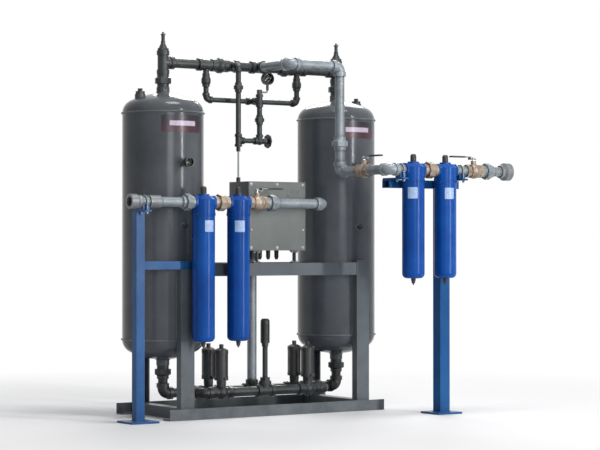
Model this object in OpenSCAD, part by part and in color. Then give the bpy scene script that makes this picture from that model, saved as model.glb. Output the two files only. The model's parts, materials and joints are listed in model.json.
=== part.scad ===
// Twin tower heatless desiccant air dryer with prefilters, afterfilters and their pipework.
// Millimetres. +Z is up, the towers stand along X and the front faces -Y.
// The origin is on the floor, midway between the four anchor holes of the base.

/* [Towers] */
// Distance between the two tower axes
tower_pitch = 1050; // [980:5:1200]
// Outside diameter of a tower shell
tower_od = 406; // [380:1:420]
// Wall thickness of shell and heads
shell_t = 7; // [5:0.5:12]
// Height of the lower seam of the shell above the floor
shell_bottom = 385; // [360:5:480]
// Length of the straight shell
shell_length = 1125; // [1000:5:1400]
// Knuckle radius of a domed head
knuckle_r = 70; // [50:1:90]
// Dish radius of a domed head
dish_r = 365; // [320:1:420]
// Stand-off of a tower nozzle from the crown of its head
nozzle_h = 28; // [20:1:50]
// Outside diameter of a tower nozzle
nozzle_od = 66; // [60:1:80]
// Offset of the fill port from the tower axis
fill_offset = 130; // [90:1:140]
// Outside diameter of the fill port boss
fill_od = 54; // [40:1:60]

/* [Frame] */
// Width of a leg
leg_w = 76; // [60:1:90]
// Thickness of the steel sections
steel_t = 6; // [4:0.5:8]
// Distance from the tower axes to the front face of the legs
leg_reach = 245; // [240:1:260]
// Height of the legs above the mid rails
leg_over = 12; // [0:1:60]
// Height of a mid rail
rail_h = 63; // [50:1:80]
// Depth of the flange of a mid rail
rail_flange = 36; // [25:1:38]
// Length of a base rail
base_l = 1280; // [1240:10:1400]
// Height of the upright side of a base rail
base_h = 54; // [40:1:70]
// Depth of the flat side of a base rail
base_w = 70; // [64:1:90]
// Distance of the outer face of a base rail in front of the legs
base_step = 27; // [23:1:40]
// Diameter of an anchor hole
anchor_d = 14; // [10:0.5:18]
// Distance of the anchor holes from the ends of a base rail
anchor_inset = 35; // [25:1:50]

/* [Main pipe] */
// Outside diameter of the main pipe
pipe_od = 48.3; // [46:0.1:50]
// Inside diameter of the main pipe
pipe_id = 40.9; // [36:0.1:42]
// Outside diameter of the body of a main fitting
fit_od = 55; // [52:0.5:57]
// Outside diameter of the end band of a main fitting
band_od = 64; // [60:0.5:68]
// Length of the end band of a main fitting
band_l = 21; // [15:0.5:22]
// Distance from centre to face of a main elbow or tee
fit_reach = 50; // [50:0.5:54]
// Length of a union
union_l = 67; // [60:1:75]
// Width over the corners of a union nut
union_nut = 84; // [76:1:90]
// Length of a check valve in the main line
check_l = 58; // [50:1:62]
// Largest diameter of a check valve in the main line
check_od = 78; // [70:1:84]

/* [Purge pipe] */
// Outside diameter of the purge pipe
purge_od = 26.7; // [24:0.1:30]
// Inside diameter of the purge pipe
purge_id = 20.9; // [16:0.1:22]
// Outside diameter of the body of a purge fitting
purge_fit_od = 31; // [30.5:0.5:33]
// Outside diameter of the end band of a purge fitting
purge_band_od = 38; // [35:0.5:42]
// Length of the end band of a purge fitting
purge_band_l = 13; // [10:0.5:13.5]
// Distance from centre to face of a purge elbow or tee
purge_reach = 32; // [31:0.5:36]
// Distance of the purge legs from the middle of the dryer
purge_leg_x = 275; // [265:1:290]
// Drop of the purge loop below the outlet manifold
purge_drop = 175; // [165:1:200]
// Drop of the purge adjusting valve below the outlet manifold
trim_drop = 381; // [340:1:420]
// Diameter of the purge handwheel
handwheel_d = 70; // [50:1:80]
// Outside diameter of the small tubing
tube_od = 9; // [6:0.5:12]

/* [Outlet line] */
// Place of the outlet tee along the manifold
outlet_x = 40; // [36:1:44]
// Distance the outlet pipe comes forward from the manifold
outlet_forward = 293; // [280:1:320]
// Place of the outlet drop along X
drop_x = 345; // [335:1:355]
// Height of the afterfilter line
after_z = 1228; // [1190:1:1260]
// Distance of the afterfilter line in front of the towers
after_y = 720; // [700:1:760]
// Place of the first afterfilter along X
after_x = 494; // [492:1:520]
// Distance between two filters in one line
filter_pitch = 200; // [190:1:210]
// Place of the middle of the outlet ball valve along X
outlet_valve_x = 875; // [870:1:900]

/* [Inlet line] */
// Height of the prefilter line above the underside of the control box
inlet_rise = 236; // [225:1:250]
// Distance of the prefilter line in front of the legs
inlet_gap = 70; // [67:1:85]
// Place of the open inlet end along X
inlet_x = 890; // [870:1:900]
// Place of the second prefilter along X
pre_x = 278; // [275:1:282]
// Place of the return run beside the control box
return_x = 230; // [225:1:240]

/* [Filters] */
// Diameter of a filter head
head_od = 115; // [108:1:115]
// Distance between the two port faces of a filter head
head_l = 116; // [116:1:120]
// Height of a filter head above its port axis
head_up = 40; // [36:1:48]
// Depth of a filter head below its port axis
head_down = 50; // [46:1:54]
// Outside diameter of a filter bowl
bowl_od = 112; // [100:1:112]
// Wall thickness of a filter bowl
bowl_t = 4; // [3:0.5:6]
// Length of a prefilter bowl
pre_bowl_l = 630; // [450:1:640]
// Length of an afterfilter bowl
after_bowl_l = 490; // [350:1:600]
// Diameter of a filter element
element_d = 84; // [60:1:86]

/* [Ball valves] */
// Length of a ball valve body
valve_l = 104; // [96:1:110]
// Diameter of the ball
ball_d = 54; // [50:0.5:56]
// Diameter of the bore of the ball
port_d = 38; // [32:0.5:40]
// Largest diameter of a ball valve body
valve_od = 76; // [70:1:80]
// Height of the lever above the valve axis
lever_z = 58; // [54:1:66]
// Length of a lever from its stem
lever_l = 145; // [110:1:150]
// Width of a lever
lever_w = 22; // [16:1:26]

/* [Control box] */
// Width of the control box
box_w = 340; // [300:5:350]
// Height of the control box
box_h = 346; // [300:1:380]
// Depth of the control box
box_d = 180; // [150:1:182]
// Drop of the top of the control box below the outlet manifold
box_drop = 593; // [560:1:630]
// Height of the feet of the control box above the mid rails
box_lift = 63; // [40:1:90]
// Gap between the back of the box and the plane of the towers
box_back = 55; // [50:1:58]
// Wall thickness of the control box
box_t = 3; // [2:0.5:5]

/* [Lower valves] */
// Length of a switching valve body
switch_l = 120; // [110:1:130]
// Place of the switching valves along X
switch_x = 260; // [255:1:265]
// Diameter of an actuator
actuator_d = 70; // [56:1:80]
// Length of an actuator
actuator_l = 150; // [120:1:180]
// Distance of the exhaust line in front of the towers
exhaust_y = 125; // [122:1:135]
// Length of the exhaust riser
riser_l = 157; // [120:1:220]
// Diameter of the muffler
muffler_d = 46; // [40:1:60]
// Length of the muffler
muffler_l = 140; // [100:1:180]

/* [Posts] */
// Width of the square afterfilter post
post_w = 60; // [50:1:64]
// Width of the square inlet post
inlet_post_w = 45; // [38:1:46]
// Wall thickness of the posts
post_t = 4; // [3:0.5:6]
// Width of a post base plate
plate_w = 150; // [130:1:180]
// Thickness of the post base plates and saddles
plate_t = 9; // [6:0.5:12]

/* [Gauges] */
// Diameter of a tower gauge
gauge_d = 50; // [45:1:70]
// Diameter of the purge gauge
purge_gauge_d = 64; // [56:1:70]
// Height of the tower gauges above the lower shell seam
gauge_rise = 875; // [800:5:950]

/* [Hidden] */
$fn = 64;
// Overlap of a cutting tool past the face that it cuts
cut = 1;
// Gap between welded or seated curved faces
seat_gap = 0.2;
// Running clearance of moving pieces
run_gap = 0.3;
tower_gray = "#4c5154";
pipe_gray = "#3f4447";
zinc = "#a9adaf";
brass = "#b08d57";
filter_blue = "#1d4a94";
post_blue = "#1f5c8f";
black = "#1c1c1e";
box_gray = "#7c8080";

// Tower and manifold places
tower_x = tower_pitch / 2;
tower_r = tower_od / 2;
head_h = dish_r - sqrt(pow(dish_r - knuckle_r, 2) - pow(tower_r - knuckle_r, 2));
shell_top = shell_bottom + shell_length;
nozzle_top = ceil(shell_top + head_h) + nozzle_h;
nozzle_bottom = floor(shell_bottom - head_h) - nozzle_h;
base_reach = leg_reach + base_step;
anchor_x = base_l - 2 * anchor_inset;
tee_extra = 8;
tower_tee_reach = fit_reach + tee_extra;
manifold_z = nozzle_top + union_l + tower_tee_reach;
check_in = purge_leg_x - fit_reach - check_l;
takeoff_reach = 40;
union_step = 2;
union_body = band_od - 2 * union_step;
takeoff_x = check_in - takeoff_reach;
box_z = manifold_z - box_drop - box_h;
rail_top = box_z - box_lift;
leg_top = rail_top + leg_over;
inlet_z = box_z + inlet_rise;
inlet_y = leg_reach + inlet_gap;

// Purge loop places
purge_y = -(takeoff_reach + purge_reach);
loop_z = manifold_z - purge_drop;
trim_z = manifold_z - trim_drop;
purge_check_l = 60;
band_step = 1;
check_swell = 5;
globe_swell = 2;
purge_union_l = 46;
purge_union_od = 50;
purge_union_body = purge_band_od - 2 * band_step;
purge_check_od = purge_band_od + 2 * check_swell;
adapter_w = 20;
adapter_h = 24;
adapter_hex = 24;
tube_bend = 12;
tube_z = loop_z + purge_reach + adapter_h / 2;
gauge_side = 8;
gauge_drop = 61;
purge_gauge_x = outlet_x + gauge_side;
purge_gauge_z = manifold_z - gauge_drop;
purge_globe_d = purge_band_od + 2 * globe_swell;
bonnet_l = 42;
bonnet_hex = 14;
needle_d = 10;
takeoff_rise = 40;
orifice_rise = 85;
takeoff_union_z = loop_z + takeoff_rise;
orifice_z = trim_z + orifice_rise;
wheel_gap = 3;
hub_h = 14;
hub_d = 20;
web_t = 4;
rim_d = 10;
rim_rise = 5;
lobe_h = 8;
lobe_inset = 4;

// Outlet and inlet line places
line_brass_l = filter_pitch - head_l;
after_x2 = after_x + filter_pitch;
pre_x1 = pre_x + filter_pitch;
after_valve_y = -(outlet_forward + after_y) / 2;
inlet_valve_x = -pre_x + head_l / 2 + valve_l / 2;
end_l = 60;
end_od = 90;
inlet_end_od = 74;
socket_depth = 34;
end_taper = 10;
outlet_union_x = outlet_valve_x + valve_l / 2;
outlet_nipple_l = 50;
outlet_end_x = outlet_union_x + union_l + outlet_nipple_l;
drop_nipple_l = 60;
drop_union_z = after_z + fit_reach + drop_nipple_l;
inlet_nipple_l = 45;
inlet_joint_x = inlet_x - end_l - inlet_nipple_l;

// Lower valve places
lower_nipple = 23;
lower_z = nozzle_bottom - union_l - lower_nipple - fit_reach;
exhaust_tee_x = switch_x + switch_l / 2 + fit_reach;
bonnet_h = 62;
bonnet_nut_h = 20;
bonnet_neck = 12;
seat_web = 8;
bushing_h = 18;
bushing_d = 56;
globe_d = 72;

// Filter and ball valve details
well_d = 26;
well_side = 12;
element_gap = 2;
bowl_edge = 24;
collar_h = 16;
element_room = 40;
skirt_share = 0.35;
crown_share = 0.45;
port_extra = 6;
stem_d = 13;
stem_end_d = 9;
stem_top = 8;
gland_wall = 7;
gland_short = 6;
lever_t = 5;
lever_crank = 16;
lever_eye = 6;
end_hex_l = 22;
end_hex_d = 66;
valve_neck_d = 58;
valve_waist_d = 68;

// Box, gauge and post places
box_front = -(box_back + box_d);
cover_t = 4;
cover_lip = 12;
gland_d = 26;
gland_back = 60;
GLANDS = [-75, -25, 25, 75];
foot_w = 40;
foot_d = 26;
clamp_h = 30;
gauge_z = shell_bottom + gauge_rise;
gauge_depth = 30;
gauge_stem_l = 22;
dial_t = 2;
lens_t = 2;
case_t = 2.5;
bezel_h = 7;
pointer_lift = 2;
pivot_d = 4;
pointer_t = 1.2;
pivot_top = 3;
needle_share = 0.36;
needle_eye = 4;
bezel_lip = 2;
stem_hex = 16;
gauge_neck = 14;
post_side = 50;
post_gap = 11;
post_x = after_x2 + post_side;
post_y = -(after_y - bowl_od / 2 - post_gap - post_w / 2);
arm_over = 10;
arm_h = 40;
saddle_w = 36;
cradle_h = 16;
after_saddle_z = after_z - pipe_od / 2 - cradle_h;
inlet_saddle_z = inlet_z - pipe_od / 2 - cradle_h;
inlet_post_x = -(inlet_x - end_l - inlet_nipple_l / 2);
bolt_rod = 8;
bolt_r = pipe_od / 2 + seat_gap + bolt_rod / 2;
bolt_nut = 14;
bolt_nut_h = 8;
bolt_tail = 4;
nut_gap = 1;
inlet_post_y = -(inlet_y - bolt_r - bolt_nut / 2 - nut_gap - inlet_post_w / 2);
plate_margin = 20;
brace_h = 40;
relief_hex = 58;

// Turned pieces from their seat outwards, each step [height, lower diameter, upper diameter, sides]
relief_steps = [[12, relief_hex, relief_hex, 8], [22, 46, 26, $fn], [14, 26, 26, 6], [30, 18, 18, $fn],
    [6, 24, 24, $fn], [10, 10, 10, $fn]];
indicator_steps = [[8, 34, 34, 6], [22, 30, 30, $fn], [8, 30, 20, $fn]];
drain_steps = [[12, 26, 26, 6], [12, 18, 18, $fn], [8, 8, 8, $fn]];
gland_nut_d = gland_d - 4;
gland_steps = [[10, gland_d, gland_d, 6], [22, gland_nut_d, gland_nut_d, $fn],
    [14, gland_nut_d, gland_d / 2, $fn]];
flange_h = 18;
barrel_d = actuator_d - 8;
barrel_l = actuator_l - 2 * flange_h;
actuator_steps = [[flange_h, actuator_d, actuator_d, $fn], [barrel_l, barrel_d, barrel_d, $fn],
    [flange_h, actuator_d, actuator_d, $fn], [10, actuator_d, actuator_d * 0.55, $fn], [20, 22, 22, $fn]];
muffler_hex_h = 16;
muffler_cap_h = 10;
muffler_steps = [[muffler_hex_h, muffler_d - 8, muffler_d - 8, 6],
    [muffler_l - muffler_hex_h - muffler_cap_h, muffler_d, muffler_d, $fn],
    [muffler_cap_h, muffler_d, muffler_d - 14, $fn]];
air_port_d = 14;
air_port_l = 8;

// Small features of the towers and the frame
boss_h = 14;
plug_h = 14;
plug_step = 4;
gauge_boss_h = 12;
gauge_boss_d = 26;
sample_z = shell_bottom + shell_length / 2;
seam_w = 9;
seam_h = 1.5;
screen_t = 6;
tie_w = 60;
anchor_y = 2 * (base_reach - base_w / 2);

// Turns a piece built along +Z to lie along +X
module along_x() rotate([0, 90, 0]) children();

// Turns a piece built along +Z to lie along +Y
module along_y() rotate([-90, 0, 0]) children();

// Copies a piece to the other tower
module both_sides() {
    children();
    mirror([1, 0, 0]) children();
}

// Height of the steps below step i
function height_below(steps, i) = i == 0 ? 0 : steps[i - 1][0] + height_below(steps, i - 1);

// Piece turned from a list of steps, along +Z
module stack(steps) {
    for (i = [0:len(steps) - 1])
        translate([0, 0, height_below(steps, i)])
            cylinder(h = steps[i][0], d1 = steps[i][1], d2 = steps[i][2], $fn = steps[i][3]);
}

// Open tube along +Z
module tube(l, od, id) {
    difference() {
        cylinder(h = l, d = od);
        translate([0, 0, -cut]) cylinder(h = l + 2 * cut, d = id);
    }
}

module run_x(x1, x2, y, z, od = pipe_od, id = pipe_id) {
    translate([x1, y, z]) along_x() tube(x2 - x1, od, id);
}

module run_y(x, y1, y2, z, od = pipe_od, id = pipe_id) {
    translate([x, y1, z]) along_y() tube(y2 - y1, od, id);
}

module run_z(x, y, z1, z2, od = pipe_od, id = pipe_id) {
    translate([x, y, z1]) tube(z2 - z1, od, id);
}

// Quarter bend from (r, 0, 0) to (0, 0, r)
module quarter_bend(r, d) {
    translate([r, 0, r]) rotate([90, 0, 0]) rotate([0, 0, 180])
        rotate_extrude(angle = 90) translate([r, 0]) circle(d = d);
}

// Threaded elbow with its faces on +X and +Z
module elbow(reach, od, id, band, band_len) {
    bend = reach - band_len;
    difference() {
        union() {
            quarter_bend(bend, od);
            translate([bend, 0, 0]) along_x() cylinder(h = band_len, d = band);
            translate([0, 0, bend]) cylinder(h = band_len, d = band);
        }
        quarter_bend(bend, id);
        translate([bend, 0, 0]) along_x() cylinder(h = band_len + cut, d = id);
        translate([0, 0, bend]) cylinder(h = band_len + cut, d = id);
    }
}

module main_elbow() elbow(fit_reach, fit_od, pipe_id, band_od, band_l);

module purge_elbow() elbow(purge_reach, purge_fit_od, purge_id, purge_band_od, purge_band_l);

// Threaded tee with its run along X and its branch on +Z
module tee(reach, od, id, band, band_len, b_reach, b_od, b_id, b_band, b_len) {
    difference() {
        union() {
            translate([-reach, 0, 0]) along_x() cylinder(h = 2 * reach, d = od);
            for (x = [-reach, reach - band_len])
                translate([x, 0, 0]) along_x() cylinder(h = band_len, d = band);
            cylinder(h = b_reach, d = b_od);
            translate([0, 0, b_reach - b_len]) cylinder(h = b_len, d = b_band);
        }
        translate([-reach - cut, 0, 0]) along_x() cylinder(h = 2 * (reach + cut), d = id);
        cylinder(h = b_reach + cut, d = b_id);
    }
}

module main_tee(reach = fit_reach) {
    tee(reach, fit_od, pipe_id, band_od, band_l, fit_reach, fit_od, pipe_id, band_od, band_l);
}

// Main tee with a branch of purge size
module branch_tee(reach, b_reach) {
    tee(reach, fit_od, pipe_id, band_od, min(band_l, reach / 2), b_reach,
        purge_fit_od, purge_id, purge_band_od, purge_band_l / 2);
}

module purge_tee() {
    tee(purge_reach, purge_fit_od, purge_id, purge_band_od, purge_band_l,
        purge_reach, purge_fit_od, purge_id, purge_band_od, purge_band_l);
}

// Union along +Z with an octagonal nut round its middle
module pipe_union(l, od, id, nut) {
    difference() {
        union() {
            cylinder(h = l, d = od);
            translate([0, 0, l * 0.28]) cylinder(h = l * 0.4, d = nut, $fn = 8);
            translate([0, 0, l * 0.68]) cylinder(h = l * 0.1, d1 = nut * 0.9, d2 = od);
        }
        translate([0, 0, -cut]) cylinder(h = l + 2 * cut, d = id);
    }
}

module main_union() pipe_union(union_l, union_body, pipe_id, union_nut);

// Inline check valve along +Z
module check_valve(l, end_d, mid_d, id) {
    difference() {
        union() {
            cylinder(h = l, d = end_d);
            translate([0, 0, l * 0.15]) cylinder(h = l * 0.2, d1 = end_d, d2 = mid_d);
            translate([0, 0, l * 0.35]) cylinder(h = l * 0.3, d = mid_d);
            translate([0, 0, l * 0.65]) cylinder(h = l * 0.2, d1 = mid_d, d2 = end_d);
        }
        translate([0, 0, -cut]) cylinder(h = l + 2 * cut, d = id);
    }
}

// Half outline of a vessel with torispherical heads, for turning about Z
module vessel_outline(r, rk, rd, z1, z2) {
    h = sqrt(pow(rd - rk, 2) - pow(r - rk, 2));
    translate([0, z1]) square([r, z2 - z1]);
    translate([0, z2]) head_outline(r, rk, rd, h);
    translate([0, z1]) mirror([0, 1]) head_outline(r, rk, rd, h);
}

// Half outline of one head above its seam: a dish between two knuckles
module head_outline(r, rk, rd, h) {
    intersection() {
        union() {
            translate([r - rk, 0]) circle(r = rk);
            intersection() {
                translate([0, -h]) circle(r = rd);
                polygon([[0, -h], [2 * (r - rk), h], [0, 2 * rd]]);
            }
        }
        square([r, rd]);
    }
}

// Welded vessel with its nozzles, fill port and gauge boss; side is +1 to put the fill port on +X
module tower(side) {
    fill_x = side * fill_offset;
    fill_z = shell_top - (dish_r - head_h) + sqrt(pow(dish_r, 2) - pow(fill_offset, 2));
    difference() {
        union() {
            rotate_extrude() vessel_outline(tower_r, knuckle_r, dish_r, shell_bottom, shell_top);
            translate([0, 0, nozzle_bottom]) cylinder(h = nozzle_top - nozzle_bottom, d = nozzle_od);
            translate([fill_x, 0, shell_top]) cylinder(h = fill_z - shell_top + boss_h, d = fill_od);
            for (z = [gauge_z, sample_z]) translate([0, -tower_r - gauge_boss_h, z])
                along_y() cylinder(h = tower_r, d = gauge_boss_d);
            for (z = [shell_bottom, shell_top])
                translate([0, 0, z - seam_w / 2]) cylinder(h = seam_w, d = tower_od + 2 * seam_h);
        }
        rotate_extrude()
            vessel_outline(tower_r - shell_t, knuckle_r - shell_t, dish_r - shell_t,
                           shell_bottom, shell_top);
        translate([0, 0, nozzle_bottom - cut])
            cylinder(h = nozzle_top - nozzle_bottom + 2 * cut, d = pipe_id);
    }
}

module tower_left() color(tower_gray) translate([-tower_x, 0, 0]) tower(-1);

module tower_right() color(tower_gray) translate([tower_x, 0, 0]) tower(1);

module desiccant_beds() {
    color("ivory") both_sides()
        translate([tower_x, 0, shell_bottom + screen_t])
            cylinder(h = shell_length - 2 * screen_t, r = tower_r - shell_t - run_gap);
}

module bed_screens() {
    color(zinc) both_sides() for (z = [shell_bottom, shell_top - screen_t])
        translate([tower_x, 0, z]) cylinder(h = screen_t, r = tower_r - shell_t - run_gap);
}

// Square headed plugs of the fill ports and of the sample ports
module port_plugs() {
    fill_z = shell_top - (dish_r - head_h) + sqrt(pow(dish_r, 2) - pow(fill_offset, 2)) + boss_h;
    color(pipe_gray) both_sides() {
        translate([tower_x + fill_offset, 0, fill_z]) {
            cylinder(h = plug_h, d = fill_od - 2 * plug_step);
            translate([0, 0, plug_h]) cylinder(h = plug_h, d = plug_h * 2, $fn = 4);
        }
        translate([tower_x, -tower_r - gauge_boss_h, sample_z]) rotate([90, 0, 0]) {
            cylinder(h = plug_h / 2, d = gauge_boss_d);
            translate([0, 0, plug_h / 2]) cylinder(h = plug_h, d = plug_h * 1.5, $fn = 4);
        }
    }
}

// Channel leg whose open side is welded to the shell
module leg() {
    difference() {
        translate([-leg_w / 2, -leg_reach, steel_t])
            cube([leg_w, leg_reach, leg_top - steel_t]);
        translate([-leg_w / 2 + steel_t, -leg_reach + steel_t, 0])
            cube([leg_w - 2 * steel_t, leg_reach, leg_top + cut]);
        cylinder(h = leg_top + cut, r = tower_r + seam_h + seat_gap);
        translate([-leg_w, -tower_r * 0.9, 0]) cube([2 * leg_w, tower_r, leg_top + cut]);
    }
}

module legs() {
    color(tower_gray) both_sides() translate([tower_x, 0, 0]) {
        leg();
        mirror([0, 1, 0]) leg();
    }
}

// Angle section between the legs, flange on top
module mid_rails() {
    l = tower_pitch - leg_w;
    color(tower_gray) for (side = [0, 1]) mirror([0, side, 0]) {
        translate([-l / 2, -leg_reach, rail_top - rail_h]) cube([l, steel_t, rail_h]);
        translate([-l / 2, -leg_reach, rail_top - steel_t]) cube([l, rail_flange, steel_t]);
    }
}

// Angle section on the floor with its anchor holes
module base_rails() {
    color(tower_gray) for (side = [0, 1]) mirror([0, side, 0]) difference() {
        union() {
            translate([-base_l / 2, -base_reach, 0]) cube([base_l, steel_t, base_h]);
            translate([-base_l / 2, -base_reach, 0]) cube([base_l, base_w, steel_t]);
        }
        for (x = [-anchor_x / 2, anchor_x / 2])
            translate([x, -anchor_y / 2, -cut]) cylinder(h = steel_t + 2 * cut, d = anchor_d);
    }
}

// Channel section across the base under each tower
module base_ties() {
    l = 2 * (base_reach - base_w);
    color(tower_gray) both_sides() translate([tower_x - tie_w / 2, -l / 2, 0]) difference() {
        cube([tie_w, l, base_h]);
        translate([steel_t, -cut, -cut]) cube([tie_w - 2 * steel_t, l + 2 * cut, base_h - steel_t + cut]);
    }
}

module tower_unions() {
    color(pipe_gray) both_sides() {
        translate([tower_x, 0, nozzle_top]) main_union();
        translate([tower_x, 0, nozzle_bottom]) mirror([0, 0, 1]) main_union();
    }
}

module manifold_tees() {
    color(pipe_gray) {
        both_sides() {
            translate([-tower_x, 0, manifold_z]) rotate([0, 90, 0])
                tee(tower_tee_reach, fit_od, pipe_id, band_od, band_l,
                    tower_tee_reach, fit_od, pipe_id, band_od, band_l);
            translate([-purge_leg_x, 0, manifold_z]) rotate([180, 0, 0]) branch_tee(fit_reach, fit_reach);
        }
        translate([-takeoff_x, 0, manifold_z]) rotate([90, 0, 0]) branch_tee(takeoff_reach, takeoff_reach);
        translate([outlet_x, 0, manifold_z]) rotate([90, 0, 0]) main_tee();
    }
}

module outlet_check_valves() {
    color(pipe_gray) both_sides()
        translate([check_in, 0, manifold_z]) along_x() check_valve(check_l, band_od, check_od, pipe_id);
}

module manifold_pipes() {
    color(pipe_gray) {
        both_sides() run_x(purge_leg_x + fit_reach, tower_x - tower_tee_reach, 0, manifold_z);
        run_x(-takeoff_x + takeoff_reach, outlet_x - fit_reach, 0, manifold_z);
        run_x(outlet_x + fit_reach, check_in, 0, manifold_z);
    }
}

// Bushing and pop valve on the top of each tower tee
module relief_valves() {
    z = manifold_z + tower_tee_reach;
    color(pipe_gray) both_sides() translate([tower_x, 0, z]) stack(relief_steps);
}

module purge_check_valves() {
    color(pipe_gray) both_sides()
        translate([purge_leg_x, 0, manifold_z - fit_reach - purge_check_l])
            check_valve(purge_check_l, purge_band_od, purge_check_od, purge_id);
}

// Straight purge pipes, all of one size
module purge_pipes() {
    leg_z = manifold_z - fit_reach - purge_check_l;
    color(pipe_gray) {
        both_sides() {
            run_z(purge_leg_x, 0, loop_z + purge_reach, leg_z, purge_od, purge_id);
            run_x(purge_reach, purge_leg_x - purge_reach, 0, loop_z, purge_od, purge_id);
        }
        run_y(0, purge_y + purge_reach, -purge_reach, loop_z, purge_od, purge_id);
        run_z(-takeoff_x, purge_y, trim_z + purge_reach, takeoff_union_z, purge_od, purge_id);
        run_z(-takeoff_x, purge_y, takeoff_union_z + purge_union_l, manifold_z - purge_reach,
              purge_od, purge_id);
        run_x(-takeoff_x + purge_reach, -purge_reach, purge_y, trim_z, purge_od, purge_id);
        run_z(0, purge_y, trim_z + purge_reach, orifice_z, purge_od, purge_id);
        run_z(0, purge_y, orifice_z + purge_union_l, loop_z - purge_reach, purge_od, purge_id);
    }
}

// Elbows, tees, unions and small adapters of the purge loop
module purge_fittings() {
    color(pipe_gray) {
        translate([-purge_leg_x, 0, loop_z]) purge_elbow();
        translate([purge_leg_x, 0, loop_z]) rotate([0, 0, 180]) purge_elbow();
        translate([0, 0, loop_z]) rotate([90, 0, 0]) purge_tee();
        translate([0, purge_y, loop_z]) rotate([0, 90, 0]) rotate([-90, 0, 0]) purge_tee();
        translate([-takeoff_x, purge_y, manifold_z]) rotate([180, 0, 90]) purge_elbow();
        translate([-takeoff_x, purge_y, trim_z]) rotate([0, 90, 0]) purge_tee();
        for (p = [[-takeoff_x, takeoff_union_z], [0, orifice_z]])
            translate([p[0], purge_y, p[1]])
                pipe_union(purge_union_l, purge_union_body, purge_id, purge_union_od);
        translate([-adapter_w / 2, purge_y - adapter_w / 2, loop_z + purge_reach])
            cube([adapter_w, adapter_w, adapter_h]);
        translate([-takeoff_x, purge_y, trim_z - purge_reach - adapter_h])
            cylinder(h = adapter_h, d = adapter_hex, $fn = 6);
        translate([-takeoff_x, purge_y, box_z + box_h]) cylinder(h = adapter_h, d = adapter_hex, $fn = 6);
    }
}

// Angle valve that sets the purge flow: inlet on -X, outlet on +Z, bonnet on +X
module purge_valve_body() {
    color(pipe_gray) translate([0, purge_y, trim_z]) difference() {
        union() {
            sphere(d = purge_globe_d);
            translate([-purge_reach, 0, 0]) along_x() cylinder(h = purge_reach, d = purge_fit_od);
            translate([-purge_reach, 0, 0]) along_x() cylinder(h = purge_band_l, d = purge_band_od);
            cylinder(h = purge_reach, d = purge_fit_od);
            translate([0, 0, purge_reach - purge_band_l]) cylinder(h = purge_band_l, d = purge_band_od);
            along_x() cylinder(h = bonnet_l - bonnet_hex, d = purge_fit_od);
            translate([bonnet_l - bonnet_hex, 0, 0]) along_x()
                cylinder(h = bonnet_hex, d = purge_fit_od, $fn = 6);
        }
        translate([-purge_reach - cut, 0, 0]) along_x() cylinder(h = purge_reach + cut, d = purge_id);
        cylinder(h = purge_reach + cut, d = purge_id);
        along_x() cylinder(h = bonnet_l + cut, d = needle_d + 2 * run_gap);
    }
}

module purge_stem() {
    color(zinc) translate([0, purge_y, trim_z]) along_x()
        cylinder(h = bonnet_l + wheel_gap, d = needle_d);
}

// Cast wheel with a lobed rim, a dished web and a hub
module purge_handwheel() {
    color(black) translate([bonnet_l + wheel_gap, purge_y, trim_z]) along_x() {
        cylinder(h = hub_h, d = hub_d);
        translate([0, 0, rim_rise - web_t / 2]) cylinder(h = web_t, d = handwheel_d - rim_d);
        translate([0, 0, rim_rise]) rotate_extrude()
            translate([(handwheel_d - rim_d) / 2, 0]) circle(d = rim_d);
        for (a = [0:45:315]) rotate([0, 0, a])
            translate([handwheel_d / 2 - lobe_inset, 0, rim_rise - lobe_h / 2])
                cylinder(h = lobe_h, d = rim_d);
    }
}

// Tube to the purge gauge and tube from the take-off down to the control box
module small_tubing() {
    color(zinc) {
        run_x(adapter_w / 2, purge_gauge_x - tube_bend, purge_y, tube_z, tube_od, tube_od / 2);
        translate([purge_gauge_x, purge_y, tube_z]) rotate([0, 0, 180]) difference() {
            quarter_bend(tube_bend, tube_od);
            quarter_bend(tube_bend, tube_od / 2);
        }
        run_z(-takeoff_x, purge_y, box_z + box_h + adapter_h, trim_z - purge_reach - adapter_h,
              tube_od, tube_od / 2);
    }
}

// Galvanised pipe of the outlet and inlet lines
module line_pipes() {
    color(zinc) {
        run_y(outlet_x, -outlet_forward + fit_reach, -fit_reach, manifold_z);
        run_x(outlet_x + fit_reach, drop_x - fit_reach, -outlet_forward, manifold_z);
        run_z(drop_x, -outlet_forward, after_z + fit_reach, drop_union_z);
        run_z(drop_x, -outlet_forward, drop_union_z + union_l, manifold_z - fit_reach);
        run_y(drop_x, after_valve_y + valve_l / 2, -outlet_forward - fit_reach, after_z);
        run_y(drop_x, -after_y + fit_reach, after_valve_y - valve_l / 2, after_z);
        run_x(drop_x + fit_reach, after_x - head_l / 2, -after_y, after_z);
        run_x(after_x2 + head_l / 2, outlet_valve_x - valve_l / 2, -after_y, after_z);
        run_x(outlet_union_x + union_l, outlet_end_x, -after_y, after_z);
        run_x(-inlet_x + end_l, -inlet_joint_x, -inlet_y, inlet_z);
        run_x(-inlet_joint_x + end_l, -pre_x1 - head_l / 2 - union_l, -inlet_y, inlet_z);
        run_x(inlet_valve_x + valve_l / 2 + union_l, return_x - fit_reach, -inlet_y, inlet_z);
        run_y(return_x, -inlet_y + fit_reach, -fit_reach, inlet_z);
        run_x(fit_reach, return_x - fit_reach, 0, inlet_z);
        run_z(0, 0, lower_z + fit_reach, inlet_z - fit_reach);
    }
}

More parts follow.
